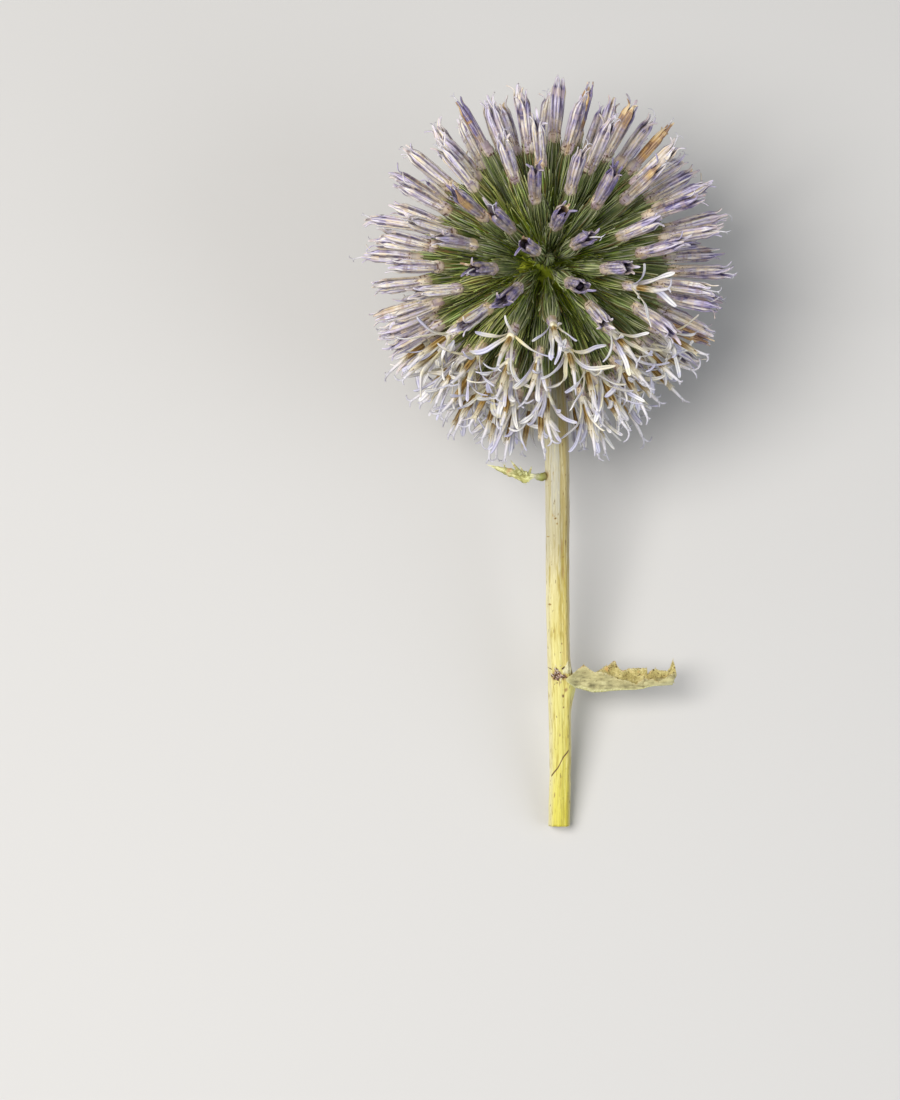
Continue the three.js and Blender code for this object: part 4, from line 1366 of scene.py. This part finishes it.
BRACT_LINE = np.array([
    [0.0, -31.2, 0.3], [-0.85, -31.45, 0.5], [-1.75, -31.2, 0.55], [-2.5, -31.35, 0.6],
    [-3.0, -31.45, 0.65], [-4.0, -31.05, 0.75], [-5.2, -30.75, 0.8], [-6.2, -30.45, 0.85],
    [-7.2, -30.1, 0.9], [-8.0, -29.8, 0.9], [-8.8, -29.55, 0.9],
])
BRACT_HALF = [0.55, 0.62, 0.3, 0.55, 0.95, 0.72, 0.62, 0.48, 0.3, 0.14, 0.02]
BRACT_SPINES = [  # foot, tip, half width
    ((-3.7, -31.0, 0.9), (-5.3, -28.9, 1.2), 0.34), ((-3.2, -31.0, 0.9), (-3.95, -29.75, 1.2), 0.2),
    ((-5.9, -30.3, 0.85), (-6.4, -29.45, 1.1), 0.12),
    ((-6.2, -30.2, 0.6), (-6.05, -29.3, 0.3), 0.08),
    ((-2.6, -31.1, 0.4), (-2.1, -29.75, 0.1), 0.28),
    ((-3.0, -31.8, 0.6), (-2.95, -32.5, 0.6), 0.16),
    ((-5.4, -31.1, 0.8), (-5.75, -31.45, 0.9), 0.08),
    ((-4.4, -31.3, 0.8), (-4.6, -31.75, 0.9), 0.08),
]


def build_bract():
    batch = Batch()
    share = np.linspace(0, 1, 64)
    knots = np.linspace(0, 1, len(BRACT_LINE))
    path = np.stack([np.interp(share, knots, BRACT_LINE[:, k]) for k in range(3)], axis=-1)
    half = np.interp(share, knots, BRACT_HALF) * (1 + wander(share, 61, (40, 70, 95), 0.06))
    half = half[:, None]
    place = np.linspace(-1, 1, 9)
    swollen = np.interp(share, [0, 0.1, 0.17, 0.25, 1], [0.5, 0.62, 0.28, 0.14, 0.05])
    swollen = swollen[:, None] * (1 - place ** 2)
    crease = wander(share, 67, (18, 31), 0.06)[:, None]
    upper = swollen + 0.28 * half * np.abs(place) + crease
    lower = -swollen - 0.06 + 0.25 * half * np.abs(place) + crease
    section = np.concatenate([
        np.stack([upper, half * place], -1), np.stack([lower, half * 0.97 * place], -1)[:, -2:0:-1]
    ], axis=1)
    across = np.concatenate([place, place[-2:0:-1]]) * 0.5 + 0.5
    batch.tube(sweep(path, section, UP), share[:, None], across[None], 0.5, 0.5)
    share = np.linspace(0, 1, 8)
    bow = np.array([0, 0, 0.25]) * np.sin(math.pi * share[:, None])
    for foot, tip, half in BRACT_SPINES:
        path = straight(foot, tip, share) + bow
        section = tapered(8, half * (1 - share) ** 0.8 + 0.012, 0.45)
        batch.tube(sweep(path, section, UP), 0.35 + 0.5 * share[:, None], 0.5, 0.8, 0.5)
    batch.piece("bract_blade", bract_material(), "bract", "bract")


def bract_material():
    """Pale yellow green, greyer at the narrow foot, with a brown patch and white spine tips,
    painted highlights in bright yellow patches and painted shade in dark olive ones.
    """
    n = Nodes("bract", 0.55, 0.35)
    along, across, strand, _ = n.grain()
    place = n.vector(along * 9, across * 2, strand)
    cloud = n.noise(place, 1.0, 4, 0.6)
    fine = n.noise((along * 8, across * 5, strand), 1.3, 3, 0.5)
    base = n.ramp(
        along, (0.0, 0.2, 0.17, 0.06), (0.1, 0.3, 0.32, 0.09), (0.2, 0.36, 0.35, 0.29),
        (0.32, 0.46, 0.45, 0.15), (0.7, 0.5, 0.46, 0.18), (1.0, 0.78, 0.75, 0.5),
    )
    # Painted highlight: patches of bright yellow.
    highlight = n.band(fine, 0.42, 0.6) * n.band(along, 0.1, 0.3)
    light = n.mix(highlight * 0.75, base, (0.88, 0.89, 0.48))
    # Painted shade: patches of dark olive.
    shade = n.mix(n.band(cloud, 0.5, 0.38) * 0.75, light, (0.2, 0.19, 0.04))
    patch = n.band(abs(along - 0.62), 0.07, 0.02) * n.band(cloud, 0.4, 0.55)
    shade = n.mix(patch * 0.8, shade, (0.4, 0.2, 0.08))
    return n.finished(shade, fine, 0.5, 0.06)


# ---- stage

IMAGE_WIDTH, IMAGE_HEIGHT = 900, 1100
MM_PER_PIXEL = 0.148
HEAD_PIXEL = (546, 265)
CAMERA_DISTANCE = 520.0
SENSOR = 36.0
FLOOR_SIZE = 6
LIGHTS = [  # name, place, size, power, colour
    ("key", (-0.27, -0.1, 0.57), 0.44, 4.2, (1, 0.97, 0.93)),
    ("fill", (0.5, -0.2, 0.35), 0.5, 1.4, (0.9, 0.94, 1)),
]
LIT_POINT = (0, 0.01, 0.02)
SKY_COLOR, SKY_STRENGTH = (0.95, 0.97, 1, 1), 0.27


def build_camera():
    """Looks square to the stem, with the head's middle where the photograph has it."""
    data = bpy.data.cameras.new("camera")
    data.sensor_width = SENSOR
    data.lens = SENSOR * CAMERA_DISTANCE / (IMAGE_HEIGHT * MM_PER_PIXEL)
    data.clip_start, data.clip_end = 0.01, 20
    camera = bpy.data.objects.new("camera", data)
    bpy.context.scene.collection.objects.link(camera)
    aim_x = (IMAGE_WIDTH / 2 - HEAD_PIXEL[0]) * MM_PER_PIXEL
    aim_y = -(IMAGE_HEIGHT / 2 - HEAD_PIXEL[1]) * MM_PER_PIXEL
    place = to_row(np.array([aim_x, aim_y, CAMERA_DISTANCE]))
    camera.location = Vector(place)
    camera.rotation_euler = (LEAN, 0, 0)
    bpy.context.scene.camera = camera


def build_lights():
    for name, place, size, power, color in LIGHTS:
        data = bpy.data.lights.new(name, "AREA")
        data.shape, data.size, data.energy, data.color = "DISK", size, power, color
        light = bpy.data.objects.new(name, data)
        light.location = Vector(place)
        aim = Vector(LIT_POINT) - Vector(place)
        light.rotation_euler = aim.to_track_quat("-Z", "Y").to_euler()
        bpy.context.scene.collection.objects.link(light)


def build_stage():
    bpy.ops.mesh.primitive_plane_add(size=FLOOR_SIZE)
    floor = bpy.context.object
    floor.name = "floor"
    n = Nodes("floor", 0.7, 0.2)
    cloud = n.noise(n.make("ShaderNodeTexCoord", "Object", {}), 3, 2)
    pale = n.ramp(cloud, (0.3, 0.6, 0.595, 0.585), (0.7, 0.62, 0.615, 0.605))
    floor.data.materials.append(n.finished(pale))
    world = bpy.data.worlds.new("studio")
    world.use_nodes = True
    background = world.node_tree.nodes["Background"]
    background.inputs["Color"].default_value = SKY_COLOR
    background.inputs["Strength"].default_value = SKY_STRENGTH
    bpy.context.scene.world = world
    build_lights()


# ---- make it

build_camera()
build_head()
build_stem()
build_leaf()
build_bract()
build_stage()
bpy.context.scene.view_settings.view_transform = "Standard"
